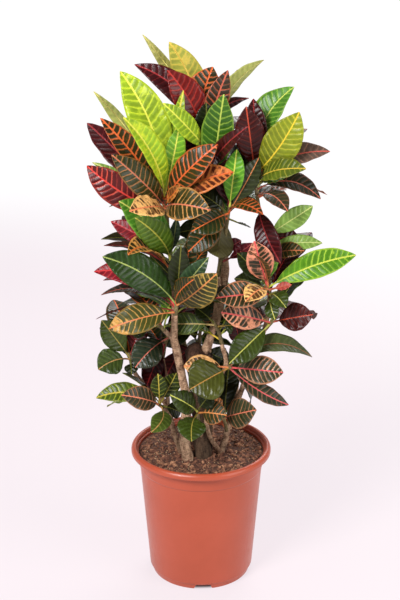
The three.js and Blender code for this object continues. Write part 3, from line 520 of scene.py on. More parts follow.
# Colours of the leaves: ground, side veins and midrib, each as red, green and blue up to 255, then how strong
# the side veins are, how far their colour spreads over the blade, how much of it the margin takes, and how
# much more it spreads at the tip.
leafKinds = {
    "lime": ((138, 170, 36), (190, 200, 48), (224, 216, 80), 0.45, 0.34, 0.5, 0),
    "limeMid": ((96, 144, 32), (164, 188, 54), (212, 208, 84), 0.3, 0.12, 0.4, 0),
    "limeEdge": ((92, 148, 30), (176, 200, 62), (208, 214, 80), 0.3, 0.1, 0.8, 0),
    "sunGreen": ((88, 146, 32), (132, 176, 52), (206, 210, 86), 0.3, 0.08, 0.3, 0),
    "brightGreen": ((78, 136, 40), (136, 174, 64), (196, 206, 96), 0.3, 0.08, 0.6, 0),
    "green": ((65, 91, 24), (92, 124, 40), (160, 172, 68), 0.2, 0, 0, 0),
    "greenMid": ((65, 110, 30), (136, 168, 62), (192, 204, 92), 0.36, 0.06, 0.7, 0),
    "greenSalmon": ((76, 93, 34), (116, 132, 56), (206, 150, 88), 0.2, 0.02, 0.5, 0),
    "greenMargin": ((66, 99, 32), (122, 150, 64), (190, 190, 94), 0.2, 0.05, 0.8, 0),
    "deepMid": ((54, 66, 18), (66, 88, 28), (190, 188, 88), 0.14, 0, 0.15, 0),
    "deepPale": ((42, 66, 22), (54, 90, 30), (168, 188, 98), 0.12, 0, 0.3, 0),
    "deepOlive": ((54, 65, 22), (66, 86, 30), (150, 138, 66), 0.12, 0, 0.1, 0),
    "deepTan": ((57, 70, 28), (84, 102, 44), (178, 134, 80), 0.16, 0, 0.15, 0),
    "creamMid": ((59, 74, 28), (136, 142, 70), (206, 180, 112), 0.28, 0.02, 0.5, 0),
    "paleGreen": ((140, 175, 80), (168, 198, 104), (206, 214, 130), 0.15, 0, 0, 0),
    "yellowVein": ((84, 104, 26), (178, 178, 56), (206, 190, 72), 0.45, 0.16, 0.5, 0),
    "yellowCore": ((52, 65, 20), (136, 138, 48), (196, 170, 70), 0.3, 0.04, 0.1, 0),
    "oliveLime": ((112, 122, 24), (172, 166, 48), (214, 180, 50), 0.28, 0.08, 0.2, 0),
    "oliveDeep": ((84, 98, 24), (160, 152, 52), (206, 172, 62), 0.3, 0.08, 0.3, 0),
    "oliveMid": ((96, 122, 26), (156, 162, 44), (226, 196, 70), 0.3, 0.1, 0.2, 0),
    "oliveGreen": ((74, 100, 26), (104, 122, 38), (166, 160, 62), 0.22, 0.04, 0.1, 0),
    "oliveOrange": ((54, 65, 20), (66, 86, 28), (156, 132, 56), 0.12, 0, 0.1, 0),
    "mossOrange": ((69, 72, 22), (88, 92, 32), (176, 126, 60), 0.14, 0, 0.2, 0),
    "olive": ((52, 52, 20), (180, 112, 64), (194, 112, 74), 0.3, 0.04, 0.6, 0),
    "oliveBack": ((184, 190, 104), (208, 206, 120), (214, 204, 122), 0.3, 0.12, 0.3, 0),
    "yellowBack": ((158, 166, 58), (222, 198, 76), (230, 192, 82), 0.7, 0.36, 0.5, 0),
    "greyOlive": ((66, 72, 40), (92, 90, 54), (140, 86, 56), 0.12, 0, 0.3, 0),
    "mossBack": ((78, 78, 40), (92, 88, 48), (104, 94, 56), 0.2, 0.05, 0.1, 0),
    "pale": ((120, 150, 66), (180, 190, 100), (214, 214, 130), 0.3, 0.1, 0.1, 0),
    "veinedTip": ((66, 66, 22), (194, 158, 76), (222, 142, 78), 0.34, 0.06, 0.5, 0.2),
    "blotchTip": ((71, 72, 26), (218, 160, 84), (220, 124, 76), 0.25, 0.02, 0.3, 0.7),
    "tanVein": ((62, 60, 24), (222, 154, 90), (226, 128, 96), 0.42, 0.08, 0.8, 0),
    "tanPink": ((48, 46, 26), (206, 134, 92), (212, 88, 80), 0.38, 0.06, 0.7, 0),
    "dimPink": ((48, 50, 34), (150, 98, 78), (206, 92, 90), 0.25, 0.02, 0.6, 0),
    "orangeVein": ((50, 46, 20), (220, 106, 52), (226, 104, 50), 0.55, 0.06, 0.8, 0),
    "salmon": ((166, 84, 66), (200, 104, 80), (216, 124, 98), 0.25, 0.1, 0.1, 0),
    "pinkBlotch": ((52, 50, 34), (230, 150, 118), (222, 92, 88), 0.8, 0.44, 0.9, 0),
    "peach": ((94, 38, 24), (226, 132, 66), (224, 108, 54), 0.85, 0.4, 0.9, 0.2),
    "peachClear": ((84, 54, 28), (240, 182, 114), (226, 134, 84), 0.8, 0.58, 0.9, 0),
    "yellowBlotch": ((58, 50, 22), (236, 168, 86), (220, 122, 56), 0.8, 0.46, 0.9, 0),
    "greyOrange": ((62, 48, 34), (192, 92, 58), (216, 108, 82), 0.45, 0.06, 0.8, 0),
    "greyPink": ((106, 86, 72), (160, 108, 88), (218, 98, 80), 0.3, 0.04, 0.4, 0),
    "brownPink": ((52, 50, 32), (126, 76, 54), (214, 112, 86), 0.25, 0.03, 0.9, 0),
    "brownRed": ((54, 42, 28), (112, 62, 46), (170, 80, 62), 0.2, 0.02, 0.2, 0),
    "orange": ((120, 70, 32), (222, 140, 64), (222, 120, 56), 0.75, 0.5, 0.6, 0),
    "rust": ((168, 72, 60), (188, 92, 72), (200, 100, 80), 0.2, 0, 0.1, 0),
    "darkOrange": ((38, 48, 18), (150, 86, 38), (210, 102, 46), 0.25, 0.02, 0.3, 0),
    "darkVein": ((52, 55, 24), (206, 132, 74), (220, 138, 76), 0.36, 0.03, 0.5, 0),
    "darkMid": ((40, 48, 20), (62, 72, 28), (180, 108, 64), 0.12, 0, 0.05, 0),
    "darkPink": ((38, 49, 32), (96, 74, 54), (200, 108, 88), 0.18, 0, 0.15, 0),
    "redVein": ((104, 18, 16), (160, 44, 32), (178, 50, 40), 0.35, 0.04, 0.4, 0),
    "crimsonVein": ((92, 18, 20), (194, 72, 58), (208, 62, 52), 0.4, 0.04, 0.4, 0),
    "redMid": ((40, 30, 26), (146, 58, 50), (196, 54, 56), 0.25, 0.03, 0.4, 0),
    "red": ((128, 22, 34), (186, 54, 56), (206, 56, 62), 0.35, 0.1, 0.25, 0),
    "maroonRed": ((104, 30, 40), (136, 50, 56), (166, 72, 70), 0.2, 0.02, 0.5, 0),
    "maroonMid": ((66, 16, 14), (112, 38, 28), (204, 76, 52), 0.2, 0.02, 0.3, 0),
    "maroon": ((62, 14, 16), (108, 32, 32), (150, 44, 44), 0.22, 0.02, 0.3, 0),
    "pinkVein": ((58, 58, 36), (212, 148, 110), (214, 82, 86), 0.45, 0.1, 0.75, 0.05),
    "pinkMid": ((59, 59, 36), (192, 126, 88), (222, 124, 94), 0.24, 0.02, 0.6, 0),
    "blue": ((50, 72, 44), (84, 110, 62), (150, 156, 96), 0.12, 0, 0.1, 0),
    "dark": ((33, 40, 14), (50, 66, 24), (112, 114, 46), 0.12, 0, 0.1, 0),
}
hiddenKinds = [
    "greenMid", "darkOrange", "maroon", "deepMid", "orangeVein", "dark", "redMid", "oliveMid", "green",
]


# Scale and detail of the noises in a leaf's finish.
leafNoise = {
    "wobble": (70, 3), "fray": (330, 2), "patches": (46, 4, 0.6), "clouds": (11, 2), "mottle": (120, 3),
    "speckle": (300, 2), "grain": (420, 2), "wear": (30, 3),
}


def makeLeafFinish():
    finish = Finish("waxyLeaf")
    ruler = finish.node("ShaderNodeSeparateXYZ", {}, {0: finish.attribute("leafRuler", "Vector")})
    along, across, share = ruler, ruler.twin(1), ruler.twin(2)
    traits = finish.node("ShaderNodeSeparateColor", {}, {0: finish.attribute("leafTraits")})
    strength, spread, under = traits, traits.twin(1), traits.twin(2)
    margin = finish.attribute("leafTraits", "Alpha")
    wobble, fray = (finish.noise(*leafNoise[name]) - 0.5 for name in ("wobble", "fray"))
    side = across.math("ABSOLUTE")
    half = finish.rise(across, -0.01, 0.01) * 0.42
    curve = side * side * leafLook["veinCurve"]
    course = along - side * leafLook["veinLean"] - curve + wobble * leafLook["veinWander"] + half + 0.5
    turn = course.math("FRACT")
    toVein = (turn - 0.5).math("ABSOLUTE")
    number = (course - turn).math("ROUND") + across.math("SIGN") * 0.31
    chance = finish.node("ShaderNodeTexWhiteNoise", {"noise_dimensions": "1D"}, {"W": number})
    perStrength, least = leafLook["veinBreadth"]
    broad = (strength * perStrength + least) * finish.rise(share, 0, 0.6, 1.2, 0.75)
    broad = broad * finish.rise(chance, 0, 1, 0.65, 1.3)
    broad = broad + wobble * 0.09 + fray * 0.1 + finish.rise(share, 0.66, 0.92) * margin * 0.12
    vein = 1 - finish.rise(toVein, broad * 0.5, broad + 0.05)
    vein = vein * finish.rise(strength, 0, 0.42, 0.35, 0.95) * finish.rise(chance, 0, 0.7, 0.3, 1)
    vein = vein * finish.rise(share, 0.78, 0.97, 1, 0.45)
    midribWidth = strength * 0.09 + 0.12 - share * 0.03
    midrib = 1 - finish.rise(side + wobble * 0.08, midribWidth * 0.6, midribWidth)
    patches = finish.noise(*leafNoise["patches"])
    blotch = finish.rise(patches + spread * 0.36 + vein * 0.12, 0.66, 0.8) * finish.rise(spread, 0.04, 0.12)
    edge = finish.rise(share + wobble * 0.12 + spread * 0.2, 0.88, 0.95) * margin
    mark = vein.math("MAXIMUM", blotch).math("MAXIMUM", edge)
    shade = finish.mottle(*leafNoise["clouds"], 0.72, 1.16) * finish.rise(toVein, 0, 0.5, 1.14, 0.9)
    shade = shade * finish.mottle(*leafNoise["mottle"], 0.86, 1.1)
    ground = finish.shaded(finish.attribute("leafGround"), shade)
    speckle = finish.rise(finish.noise(*leafNoise["speckle"]), 0.3, 0.6, 0.72, 1)
    colour = finish.blend(mark * speckle, ground, finish.attribute("leafVein"))
    colour = finish.blend(midrib, colour, finish.attribute("leafMid"))
    colour = finish.blend(under, colour, finish.blend(0.25, colour, leafLook["underTint"]))
    quilt = (toVein * math.pi).math("SINE") * (1 - under * 1.6) - midrib * 0.6
    quilt = quilt + finish.noise(*leafNoise["grain"]) * 0.05
    finish.bump(quilt, leafLook["quilt"], 0.7)
    gloss = finish.mottle(*leafNoise["wear"], *leafLook["gloss"]) + under * leafLook["underMatt"]
    return finish.set(Base_Color=colour, Roughness=gloss, Specular_IOR_Level=0.26)


# What the blades have beyond the solids, in millimetres and shares.
leafLook = {
    "steps": 26, "strips": 10,
    "ribSides": 6, "ribSteps": 18, "ribEnd": 0.98, "ribSink": 0.45, "ribFlat": 0.85,
    "thickness": 0.7, "edgeThin": 0.4, "leastReach": 0.7, "tipSlim": 0.16, "neckSlim": 0.25,
    "ripple": 0.05, "ripples": 4.5, "twist": 9, "bright": (0.82, 1.18), "tint": (0.94, 1.06),
    "veinSpacing": (6, 0.03), "veinLean": 0.45, "veinCurve": 0.07, "veinWander": 0.55,
    "veinBreadth": (0.2, 0.035), "quilt": 0.7, "gloss": (0.24, 0.4),
    "underMatt": 0.25, "underTint": paint(96, 78, 44),
}
# The solids' own rule, which the blades follow.
leafRule = {
    "petiole": 16, "petioleWidth": 3.8, "clearTip": 0.4, "usualFold": 0.18,
    "fullest": 1.12, "blunt": 0.72, "narrowest": 43, "narrow": (0.34, 0.76), "wide": (0.25, 0.55, 0.82),
    "blade": 1, "seatGap": 0.3, "rootDepth": 75, "rootSpread": 0.9, "apex": 7, "apexRadius": 0.8,
}
# Leaves that grow by rule: how far down the stem they start, how steeply they rise, and their own form.
hiddenRule = {"down": (20, 9), "rise": (46, 60), "length": (125, 45), "width": 0.36, "arch": 0.13}
# The changes that the solids' rule tries in turn: size, lift of the arch, turn and a shift.
leafChanges = [
    (size, lift, turn, shift)
    for size in (1, 0.88, 0.76)
    for lift in (0, 0.09, -0.07)
    for turn in (0, 16, -16)
    for shift in (0, 12, -12, 24, -24, 38, -38, 54, -54)
]


# The view that the plan above is read in: how its sides widen, how far its foot lies under the floor, and
# how much smaller things show for each millimetre of height.
picture = {"width": 1.0173, "height": 1.0605, "side": 1.1, "foot": -6.1, "shrink": 0.000039}


def seen(across, height, forward):
    size = 1 + picture["shrink"] * height
    x = (picture["width"] * across + picture["side"]) / size
    z = (picture["height"] * height + picture["foot"]) / size
    return (Vector((x * mm, 0, z * mm)) + potAxis).lerp(eye, forward / -view["eye"][1])


# A branch's places from root to tip, each with its radius in metres and the way the stem runs there.
def routeOf(branch):
    places = [{"at": seen(*point[:3]), "radius": point[3] * mm} for point in branch["stem"]]
    if branch["rooted"]:
        collar = places[0]
        root = (collar["at"] - potAxis) * leafRule["rootSpread"] + potAxis
        root.z = collar["at"].z - leafRule["rootDepth"] * mm
        places.insert(0, {"at": root, "radius": collar["radius"]})
    for i, place in enumerate(places):
        before = places[max(i - 1, 0)]["at"]
        after = places[min(i + 1, len(places) - 1)]["at"]
        place["way"] = (after - before).normalized()
    return places


def splitRoute(branch):
    places = routeOf(branch)
    last = branch["woody"] + (1 if branch["rooted"] else 0)
    wood, green = places[: last + 1], [dict(place) for place in places[last:]]
    green[0]["at"] = green[0]["at"] + green[0]["way"] * leafRule["seatGap"] * mm
    return wood, green


def onStem(places, down):
    left = down * mm
    for nearer, further in zip(places[::-1], places[-2::-1]):
        span = (nearer["at"] - further["at"]).length
        if left <= span:
            return nearer["at"].lerp(further["at"], left / span)
        left -= span
    return places[0]["at"] + places[0]["way"] * 2 * mm


goldenShare = 0.61803399


def scattered(index):
    return index * goldenShare % 1


def shownLeaf(row, places, change):
    size, lift, turn, shift = change
    across, height, forward, width, facing, roll, arch, down = row[:8]
    fold, bow = (*row[8:], leafRule["usualFold"], 0)[:2] if len(row) < 10 else row[8:10]
    base = onStem(places, down)
    tip = base.lerp(seen(across, height, forward + shift), size)
    return {"base": base, "tip": tip, "width": width * size * mm, "facing": facing, "roll": roll + turn,
            "arch": arch + lift, "fold": fold, "bow": bow}


def hiddenLeaf(number, branch, order, places, change):
    size, lift, turn, shift = change
    share = number / (branch["fill"] - 1) if branch["fill"] > 1 else 0.5
    firstDown, stepDown = hiddenRule["down"]
    topRise, fall = hiddenRule["rise"]
    shortest, longer = hiddenRule["length"]
    base = onStem(places, firstDown + stepDown * number)
    spread = (scattered(number + 3 * order + 1) - 0.5) * branch["sweep"]
    azimuth = math.radians(branch["away"] + spread + shift)
    rise = math.radians(topRise - fall * share + turn)
    length = size * (shortest + longer * scattered(2 * number + order + 1)) * mm
    way = Vector((math.cos(azimuth) * math.cos(rise), math.sin(azimuth) * math.cos(rise), math.sin(rise)))
    return {"base": base, "tip": base + way * length, "width": hiddenRule["width"] * length, "facing": 0,
            "roll": 0, "arch": hiddenRule["arch"] + lift, "fold": leafRule["usualFold"], "bow": 0}


# The leaf's axes: the unit way to its tip, its side and the middle point of its arch.
def leafAxes(leaf):
    along = (leaf["tip"] - leaf["base"]).normalized()
    length = (leaf["tip"] - leaf["base"]).length
    upper = up * (1 - abs(leaf["facing"])) + (eye - leaf["tip"]).normalized() * leaf["facing"]
    upper = (upper - along * upper.dot(along)).normalized()
    upper.rotate(Matrix.Rotation(math.radians(leaf["roll"]), 3, along))
    side = upper.cross(along)
    bend = leaf["base"].lerp(leaf["tip"], 0.5) + (upper * leaf["arch"] - side * leaf["bow"]) * 2 * length
    return along, side, bend, length


def faceAt(leaf, side, bend, share):
    way = (bend - leaf["base"]) * (1 - share) + (leaf["tip"] - bend) * share
    face = way.cross(side).normalized()
    return face, face.cross(way).normalized()


def midribAt(leaf, bend, share):
    first = leaf["base"].lerp(bend, share)
    return first.lerp(bend.lerp(leaf["tip"], share), share)


def tipCorners(leaf):
    along, side, bend, length = leafAxes(leaf)
    half = faceAt(leaf, side, bend, 1)[0] * leafRule["clearTip"] * leafRule["blade"] * mm
    return [leaf["tip"] + half, leaf["tip"] - half]


# Corners that the solid of a leaf has, to be looked up in its node.
def leafCorners(leaf):
    along, side, bend, length = leafAxes(leaf)
    corners = tipCorners(leaf)
    neck = leafRule["petiole"] * mm / length
    kind = "narrow" if leaf["width"] < leafRule["narrowest"] * mm else "wide"
    for station in leafRule[kind]:
        share = neck + (1 - neck) * station
        middle = midribAt(leaf, bend, share)
        face, sideways = faceAt(leaf, side, bend, share)
        reach = leaf["width"] / 2 * bladeProfile(station)
        for across in (1, 0, -1):
            for out in (0.5, -0.5):
                corner = middle + sideways * across * reach + face * abs(across) * reach * leaf["fold"]
                corners.append(corner + face * out * leafRule["blade"] * mm)
    return corners


def bladeProfile(share):
    return math.sin(math.pi * share ** leafRule["fullest"]) ** leafRule["blunt"]


# Which of its changes a leaf took in the solid: the first one whose tip the node holds, or else the one with
# most of its corners there.
def findLeaf(tree, leafUnder):
    near = 0.03 * mm
    for change in leafChanges:
        leaf = leafUnder(change)
        if all(tree.find(corner)[2] < near for corner in tipCorners(leaf)):
            return leaf
    best, bestShare = None, 0.4
    for change in leafChanges:
        leaf = leafUnder(change)
        corners = leafCorners(leaf)
        share = sum(tree.find(corner)[2] < near for corner in corners) / len(corners)
        if share > bestShare:
            best, bestShare = leaf, share
    return best


def nodeTree(name):
    mesh = bpy.data.objects[name].data
    tree = KDTree(len(mesh.vertices))
    for vertex in mesh.vertices:
        tree.insert(vertex.co, vertex.index)
    tree.balance()
    return tree


# A flat closed sheet from 0 to 1 along X and -1 to 1 across Y, whose two skins lie at Z = 1 and -1.
def makeBladeSheet():
    bm = bmesh.new()
    bmesh.ops.create_grid(bm, x_segments=leafLook["steps"], y_segments=leafLook["strips"], size=1)
    bmesh.ops.scale(bm, vec=(0.5, 1, 1), verts=bm.verts)
    bmesh.ops.translate(bm, vec=(0.5, 0, 1), verts=bm.verts)
    lower = bmesh.ops.duplicate(bm, geom=bm.verts[:] + bm.edges[:] + bm.faces[:])["geom"]
    bmesh.ops.translate(bm, vec=(0, 0, -2), verts=[g for g in lower if isinstance(g, bmesh.types.BMVert)])
    bmesh.ops.reverse_faces(bm, faces=[g for g in lower if isinstance(g, bmesh.types.BMFace)])
    bmesh.ops.bridge_loops(bm, edges=[e for e in bm.edges if e.is_boundary])
    bmesh.ops.recalc_face_normals(bm, faces=bm.faces)
    return meshFrom(bm, "bladeSheet")


# A closed tube of unit radius round X, from 0 to 1.
def makeUnitTube(name, sides, steps):
    bm = bmesh.new()
    bmesh.ops.create_circle(bm, cap_ends=True, segments=sides, radius=1)
    bmesh.ops.rotate(bm, matrix=Matrix.Rotation(math.pi / 2, 3, "Y"), verts=bm.verts)
    bmesh.ops.reverse_faces(bm, faces=bm.faces)
    bm.faces.ensure_lookup_table()
    face = bm.faces[0]
    for _ in range(steps):
        grown = bmesh.ops.extrude_face_region(bm, geom=[face])["geom"]
        verts = [g for g in grown if isinstance(g, bmesh.types.BMVert)]
        bmesh.ops.translate(bm, vec=(1 / steps, 0, 0), verts=verts)
        face = [g for g in grown if isinstance(g, bmesh.types.BMFace)][0]
    bmesh.ops.recalc_face_normals(bm, faces=bm.faces)
    return meshFrom(bm, name)


# Lays a copy of a template into a piece: every vertex goes where the arrays say, with its leaf colours.
def layIn(bm, template, points, colours, ruler, traits, bakeAt, slot=0):
    vertsBefore, facesBefore = len(bm.verts), len(bm.faces)
    bm.from_mesh(template)
    bm.verts.ensure_lookup_table()
    bm.faces.ensure_lookup_table()
    bm.verts.index_update()
    colourLayers = [bm.verts.layers.float_color[name] for name in ("leafGround", "leafVein", "leafMid")]
    traitLayer = bm.verts.layers.float_color["leafTraits"]
    rulerLayer = bm.verts.layers.float_vector["leafRuler"]
    bake = bm.loops.layers.uv["OFBake"]
    for i, vert in enumerate(bm.verts[vertsBefore:]):
        vert.co = points[i]
        for layer, colour in zip(colourLayers, colours):
            vert[layer] = colour
        vert[rulerLayer] = ruler[i]
        vert[traitLayer] = traits[i]
    for face in bm.faces[facesBefore:]:
        face.smooth = True
        face.material_index = slot
        corners = [loop.vert.index - vertsBefore for loop in face.loops]
        for loop, at in zip(face.loops, bakeAt(corners)):
            loop[bake].uv = at


def templateArray(mesh):
    flat = np.empty(len(mesh.vertices) * 3)
    mesh.vertices.foreach_get("co", flat)
    return flat.reshape(-1, 3)


# Rows and columns of a bake map, each cell four times as long as it is wide.
class BakeSheet:
    def __init__(self, cells):
        self.columns = max(1, math.ceil(math.sqrt(cells / 4)))
        self.rows = math.ceil(cells / self.columns)
        self.used = 0

    def cell(self):
        row, column = divmod(self.used, self.columns)
        self.used += 1
        rim = 0.03
        return lambda u, v: (
            (column + rim + (1 - 2 * rim) * u) / self.columns,
            (row + rim * 2 + (1 - 4 * rim) * v) / self.rows,
        )


# How the corners of a tube's faces go into its cell of a bake map, unrolled round X from a seam on one side.
def tubeBake(tube, cell):
    def place(corners):
        turns = [math.atan2(tube[i][2], tube[i][1]) / (2 * math.pi) + 0.5 for i in corners]
        if max(turns) - min(turns) > 0.5:
            turns = [turn + 1 if turn < 0.5 else turn for turn in turns]
        return [cell(tube[i][0], turn * 0.85) for i, turn in zip(corners, turns)]

    return place


def addLeaf(bm, leaf, kind, sheet, dice):
    along, side, bend, length = leafAxes(leaf)
    neck = leafRule["petiole"] * mm / length
    *tones, strength, spread, margin, tipSpread = leafKinds[kind]
    bright = dice.uniform(*leafLook["bright"])
    colours = [(*(c * bright * dice.uniform(*leafLook["tint"]) for c in paint(*tone)), 1) for tone in tones]
    shortSpacing, perLength = leafLook["veinSpacing"]
    spacing = shortSpacing + perLength * length / mm
    start, phase = dice.uniform(0, 40), dice.uniform(0, 6)
    twist = math.radians(dice.uniform(-1, 1) * leafLook["twist"])
    ripple = leafLook["ripple"] * dice.uniform(0.5, 1.5)
    flat = templateArray(bladeSheet)
    points, ruler, traits = [], [], []
    for s, t, skinSide in flat:
        share = neck + (1 - neck) * s
        middle = midribAt(leaf, bend, share)
        face, sideways = faceAt(leaf, side, bend, share)
        reach = max(leaf["width"] / 2 * bladeProfile(min(max(s, 0), 1)), leafLook["leastReach"] * mm)
        reach *= 1 - leafLook["tipSlim"] * smooth(0.8, 1, s) - leafLook["neckSlim"] * smooth(0.12, 0, s)
        wave = ripple * math.sin(2 * math.pi * leafLook["ripples"] * s + phase + (2 if t > 0 else 0))
        lift = reach * (leaf["fold"] * (1.3 * abs(t) - 0.3 * t * t) + wave * t * t)
        lift += reach * t * math.sin(twist * math.sin(math.pi * s))
        thick = leafLook["thickness"] / 2 * mm * (1 - leafLook["edgeThin"] * abs(t))
        points.append(middle + sideways * t * reach + face * (lift + skinSide * thick))
        ruler.append((start + s * (1 - neck) * length / mm / spacing, t * reach / mm / spacing, abs(t)))
        spreadHere = spread + tipSpread * smooth(0.55, 0.95, s)
        traits.append((strength + 0.5 * (spreadHere - spread), spreadHere, 0 if skinSide > 0 else 1, margin))
    upperCell, lowerCell = sheet.cell(), sheet.cell()

    def bladeBake(corners):
        lower = all(flat[i][2] < 0 for i in corners)
        cell = lowerCell if lower else upperCell
        return [cell(flat[i][0], (flat[i][1] + 1) / 2) for i in corners]

    layIn(bm, bladeSheet, points, colours, ruler, traits, bladeBake)
    tube = templateArray(ribTube)
    points, ruler, traits = [], [], []
    for s, y, z in tube:
        share = leafLook["ribEnd"] * s
        middle = midribAt(leaf, bend, share)
        face, sideways = faceAt(leaf, side, bend, share)
        radius = ribRadius(share, neck)
        sink = leafLook["ribSink"] * radius * smooth(neck * 0.7, neck * 1.5, share)
        points.append(middle + sideways * y * radius + face * (z * radius * leafLook["ribFlat"] - sink))
        ruler.append((s * length / mm / spacing, 0, 0))
        traits.append((strength, spread, 0.35, margin))
    layIn(bm, ribTube, points, colours, ruler, traits, tubeBake(tube, sheet.cell()))


def smooth(low, high, value):
    t = min(max((value - low) / (high - low), 0), 1)
    return t * t * (3 - 2 * t)


def ribRadius(share, neck):
    stalk = leafRule["petioleWidth"] / 2 * mm
    if share < neck:
        return stalk * (1.15 - 0.25 * share / neck)
    return stalk * (0.9 - 0.62 * ((share - neck) / (1 - neck)) ** 0.6)


# The way of a smooth line at one of its points, no longer than the nearer of its two spans.
def reachAt(ats, i):
    before, at, after = ats[max(i - 1, 0)], ats[i], ats[min(i + 1, len(ats) - 1)]
    spans = [span for span in ((at - before).length, (after - at).length) if span > 0]
    return (after - before).normalized() * min(spans)


# Points of a smooth line through a stem's places, with the radius at each.
def smoothRoute(places, perSpan):
    ats = [place["at"] for place in places]
    radii = [place["radius"] for place in places]
    line = []
    for i in range(len(places) - 1):
        leave, arrive = reachAt(ats, i), reachAt(ats, i + 1)
        for k in range(perSpan):
            t = k / perSpan
            at = ats[i] * (2 * t**3 - 3 * t**2 + 1) + ats[i + 1] * (3 * t**2 - 2 * t**3)
            at += leave * (t**3 - 2 * t**2 + t) + arrive * (t**3 - t**2)
            line.append((at, radii[i] + (radii[i + 1] - radii[i]) * t))
    line.append((ats[-1], radii[-1]))
    return line


def addStem(bm, template, line, rough, sheet, dice):
    flat = templateArray(template)
    count = len(line)
    frames = []
    start = Vector((1, 0, 0))
    for i, (at, radius) in enumerate(line):
        way = (line[min(i + 1, count - 1)][0] - line[max(i - 1, 0)][0]).normalized()
        start = (start - way * start.dot(way)).normalized()
        frames.append((at, radius, start.copy(), way.cross(start)))
    points, ruler, traits = [], [], []
    shift = dice.uniform(0, 100)
    tapers = [abs(b[1] - a[1]) / (b[0] - a[0]).length for a, b in zip(line, line[1:])]
    cuts = [smooth(*stemLook["cutTaper"], taper) for taper in tapers] + [0]
    for s, y, z in flat:
        at, radius, first, second = frames[round(s * (count - 1))]
        skin = at + first * y * radius + second * z * radius
        swell = noise.noise(skin / (stemLook["lumpSize"] * mm) + Vector((shift, 0, 0)))
        scar = max(0, math.cos(2 * math.pi * at.z / (rough["scarSpacing"] * mm) + y)) ** 8
        reach = radius * (1 + rough["lump"] * swell + rough["scar"] * scar)
        points.append(at + first * y * reach + second * z * reach)
        ruler.append((0, 0, 0))
        old = smooth(*(limit * mm for limit in stemLook["oldFrom"]), radius)
        traits.append((cuts[round(s * (count - 1))], old, 0, 0))
    layIn(bm, template, points, [(0, 0, 0, 1)] * 3, ruler, traits, tubeBake(flat, sheet.cell()), slot=1)


def startPiece():
    bm = bmesh.new()
    for name in ("leafGround", "leafVein", "leafMid", "leafTraits"):
        bm.verts.layers.float_color.new(name)
    bm.verts.layers.float_vector.new("leafRuler")
    bm.loops.layers.uv.new("OFBake")
    return bm


def finishPiece(bm, name, finishes, slot, *nodes):
    bm.normal_update()
    mesh = meshFrom(bm, name)
    for finish in finishes:
        mesh.materials.append(finish)
    piece = newObject(name, mesh)
    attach(piece, "root")
    if nodes:
        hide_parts(*nodes)
    return piece


def makeShoot(name, branch, order):
    dice = random.Random(order * 97 + 5)
    tree = nodeTree(name)
    wood, green = splitRoute(branch)
    leaves = []
    for row in branch["leaves"]:
        leaf = findLeaf(tree, lambda change: shownLeaf(row[1:], green, change))
        if leaf:
            leaves.append((leaf, row[0]))
    for number in range(branch["fill"]):
        leaf = findLeaf(tree, lambda change: hiddenLeaf(number, branch, order, green, change))
        if leaf:
            leaves.append((leaf, hiddenKinds[(number * 4 + order) % len(hiddenKinds)]))
    bm = startPiece()
    sheet = BakeSheet(3 * len(leaves) + 1)
    for leaf, kind in leaves:
        addLeaf(bm, leaf, kind, sheet, dice)
    top = green[-1]
    apex = top["at"] + top["way"] * leafRule["apex"] * mm
    green = green + [{"at": apex, "radius": leafRule["apexRadius"] * mm, "way": top["way"]}]
    line = smoothRoute(green, stemLook["green"]["steps"])
    tube = makeUnitTube("greenStem", stemLook["green"]["sides"], len(line) - 1)
    addStem(bm, tube, line, stemLook["green"], sheet, dice)
    finishPiece(bm, "leaves_" + name, [leafFinish, greenStemFinish], "leaves_" + name, name)
    return len(leaves)


stemLook = {
    "green": {"lump": 0.08, "scar": 0.14, "scarSpacing": 9, "sides": 10, "steps": 6},
    "wood": {"lump": 0.12, "scar": 0.07, "scarSpacing": 26, "sides": 20, "steps": 7},
    "lumpSize": 14, "oldFrom": (12, 17), "cutTaper": (0.5, 1.2),
}


# Bark, which is dark and mossy on thick old wood, darker still on a cut end, and shaded near the mix.
barkLook = {
    "patches": 28, "flecks": 700, "depth": 2.2, "nearMix": (0.27, 0.36, 0.66, 1),
    "lichen": paint(172, 150, 124), "moss": (paint(32, 22, 16), paint(74, 55, 40)),
    "cut": (paint(48, 32, 26), paint(92, 64, 52)),
}


def makeBark(name, light, dark, scale):
    finish = Finish(name)
    traits = finish.node("ShaderNodeSeparateColor", {}, {0: finish.attribute("leafTraits")})
    grain = finish.noise(scale, 5, 0.62, stretch=(1, 1, 0.35))
    rings = finish.noise(scale * 1.6, 3, 0.6, stretch=(0.5, 0.5, 3.2))
    patches = finish.noise(barkLook["patches"], 4, 0.6)
    colour = finish.ramp(grain * 0.55 + rings * 0.45, (0.41, dark), (0.57, light))
    flecks = finish.noise(barkLook["flecks"], 2)
    colour = finish.shaded(colour, finish.rise(flecks, 0.34, 0.6, 0.72, 1.06))
    colour = finish.blend(finish.rise(patches, 0.52, 0.66) * 0.4, colour, barkLook["lichen"])
    for share, tones in ((traits.twin(1) * 0.85, "moss"), (traits * 0.9, "cut")):
        colour = finish.blend(share, colour, finish.ramp(grain, *zip((0.35, 0.6), barkLook[tones])))
    colour = finish.shaded(colour, finish.rise(finish.height(), *barkLook["nearMix"]))
    finish.bump(grain * 0.6 + rings * 0.5, barkLook["depth"], 1)
    gloss = finish.rise(grain, 0.3, 0.7, 0.8, 0.97)
    return finish.set(Base_Color=colour, Roughness=gloss, Specular_IOR_Level=0.2)


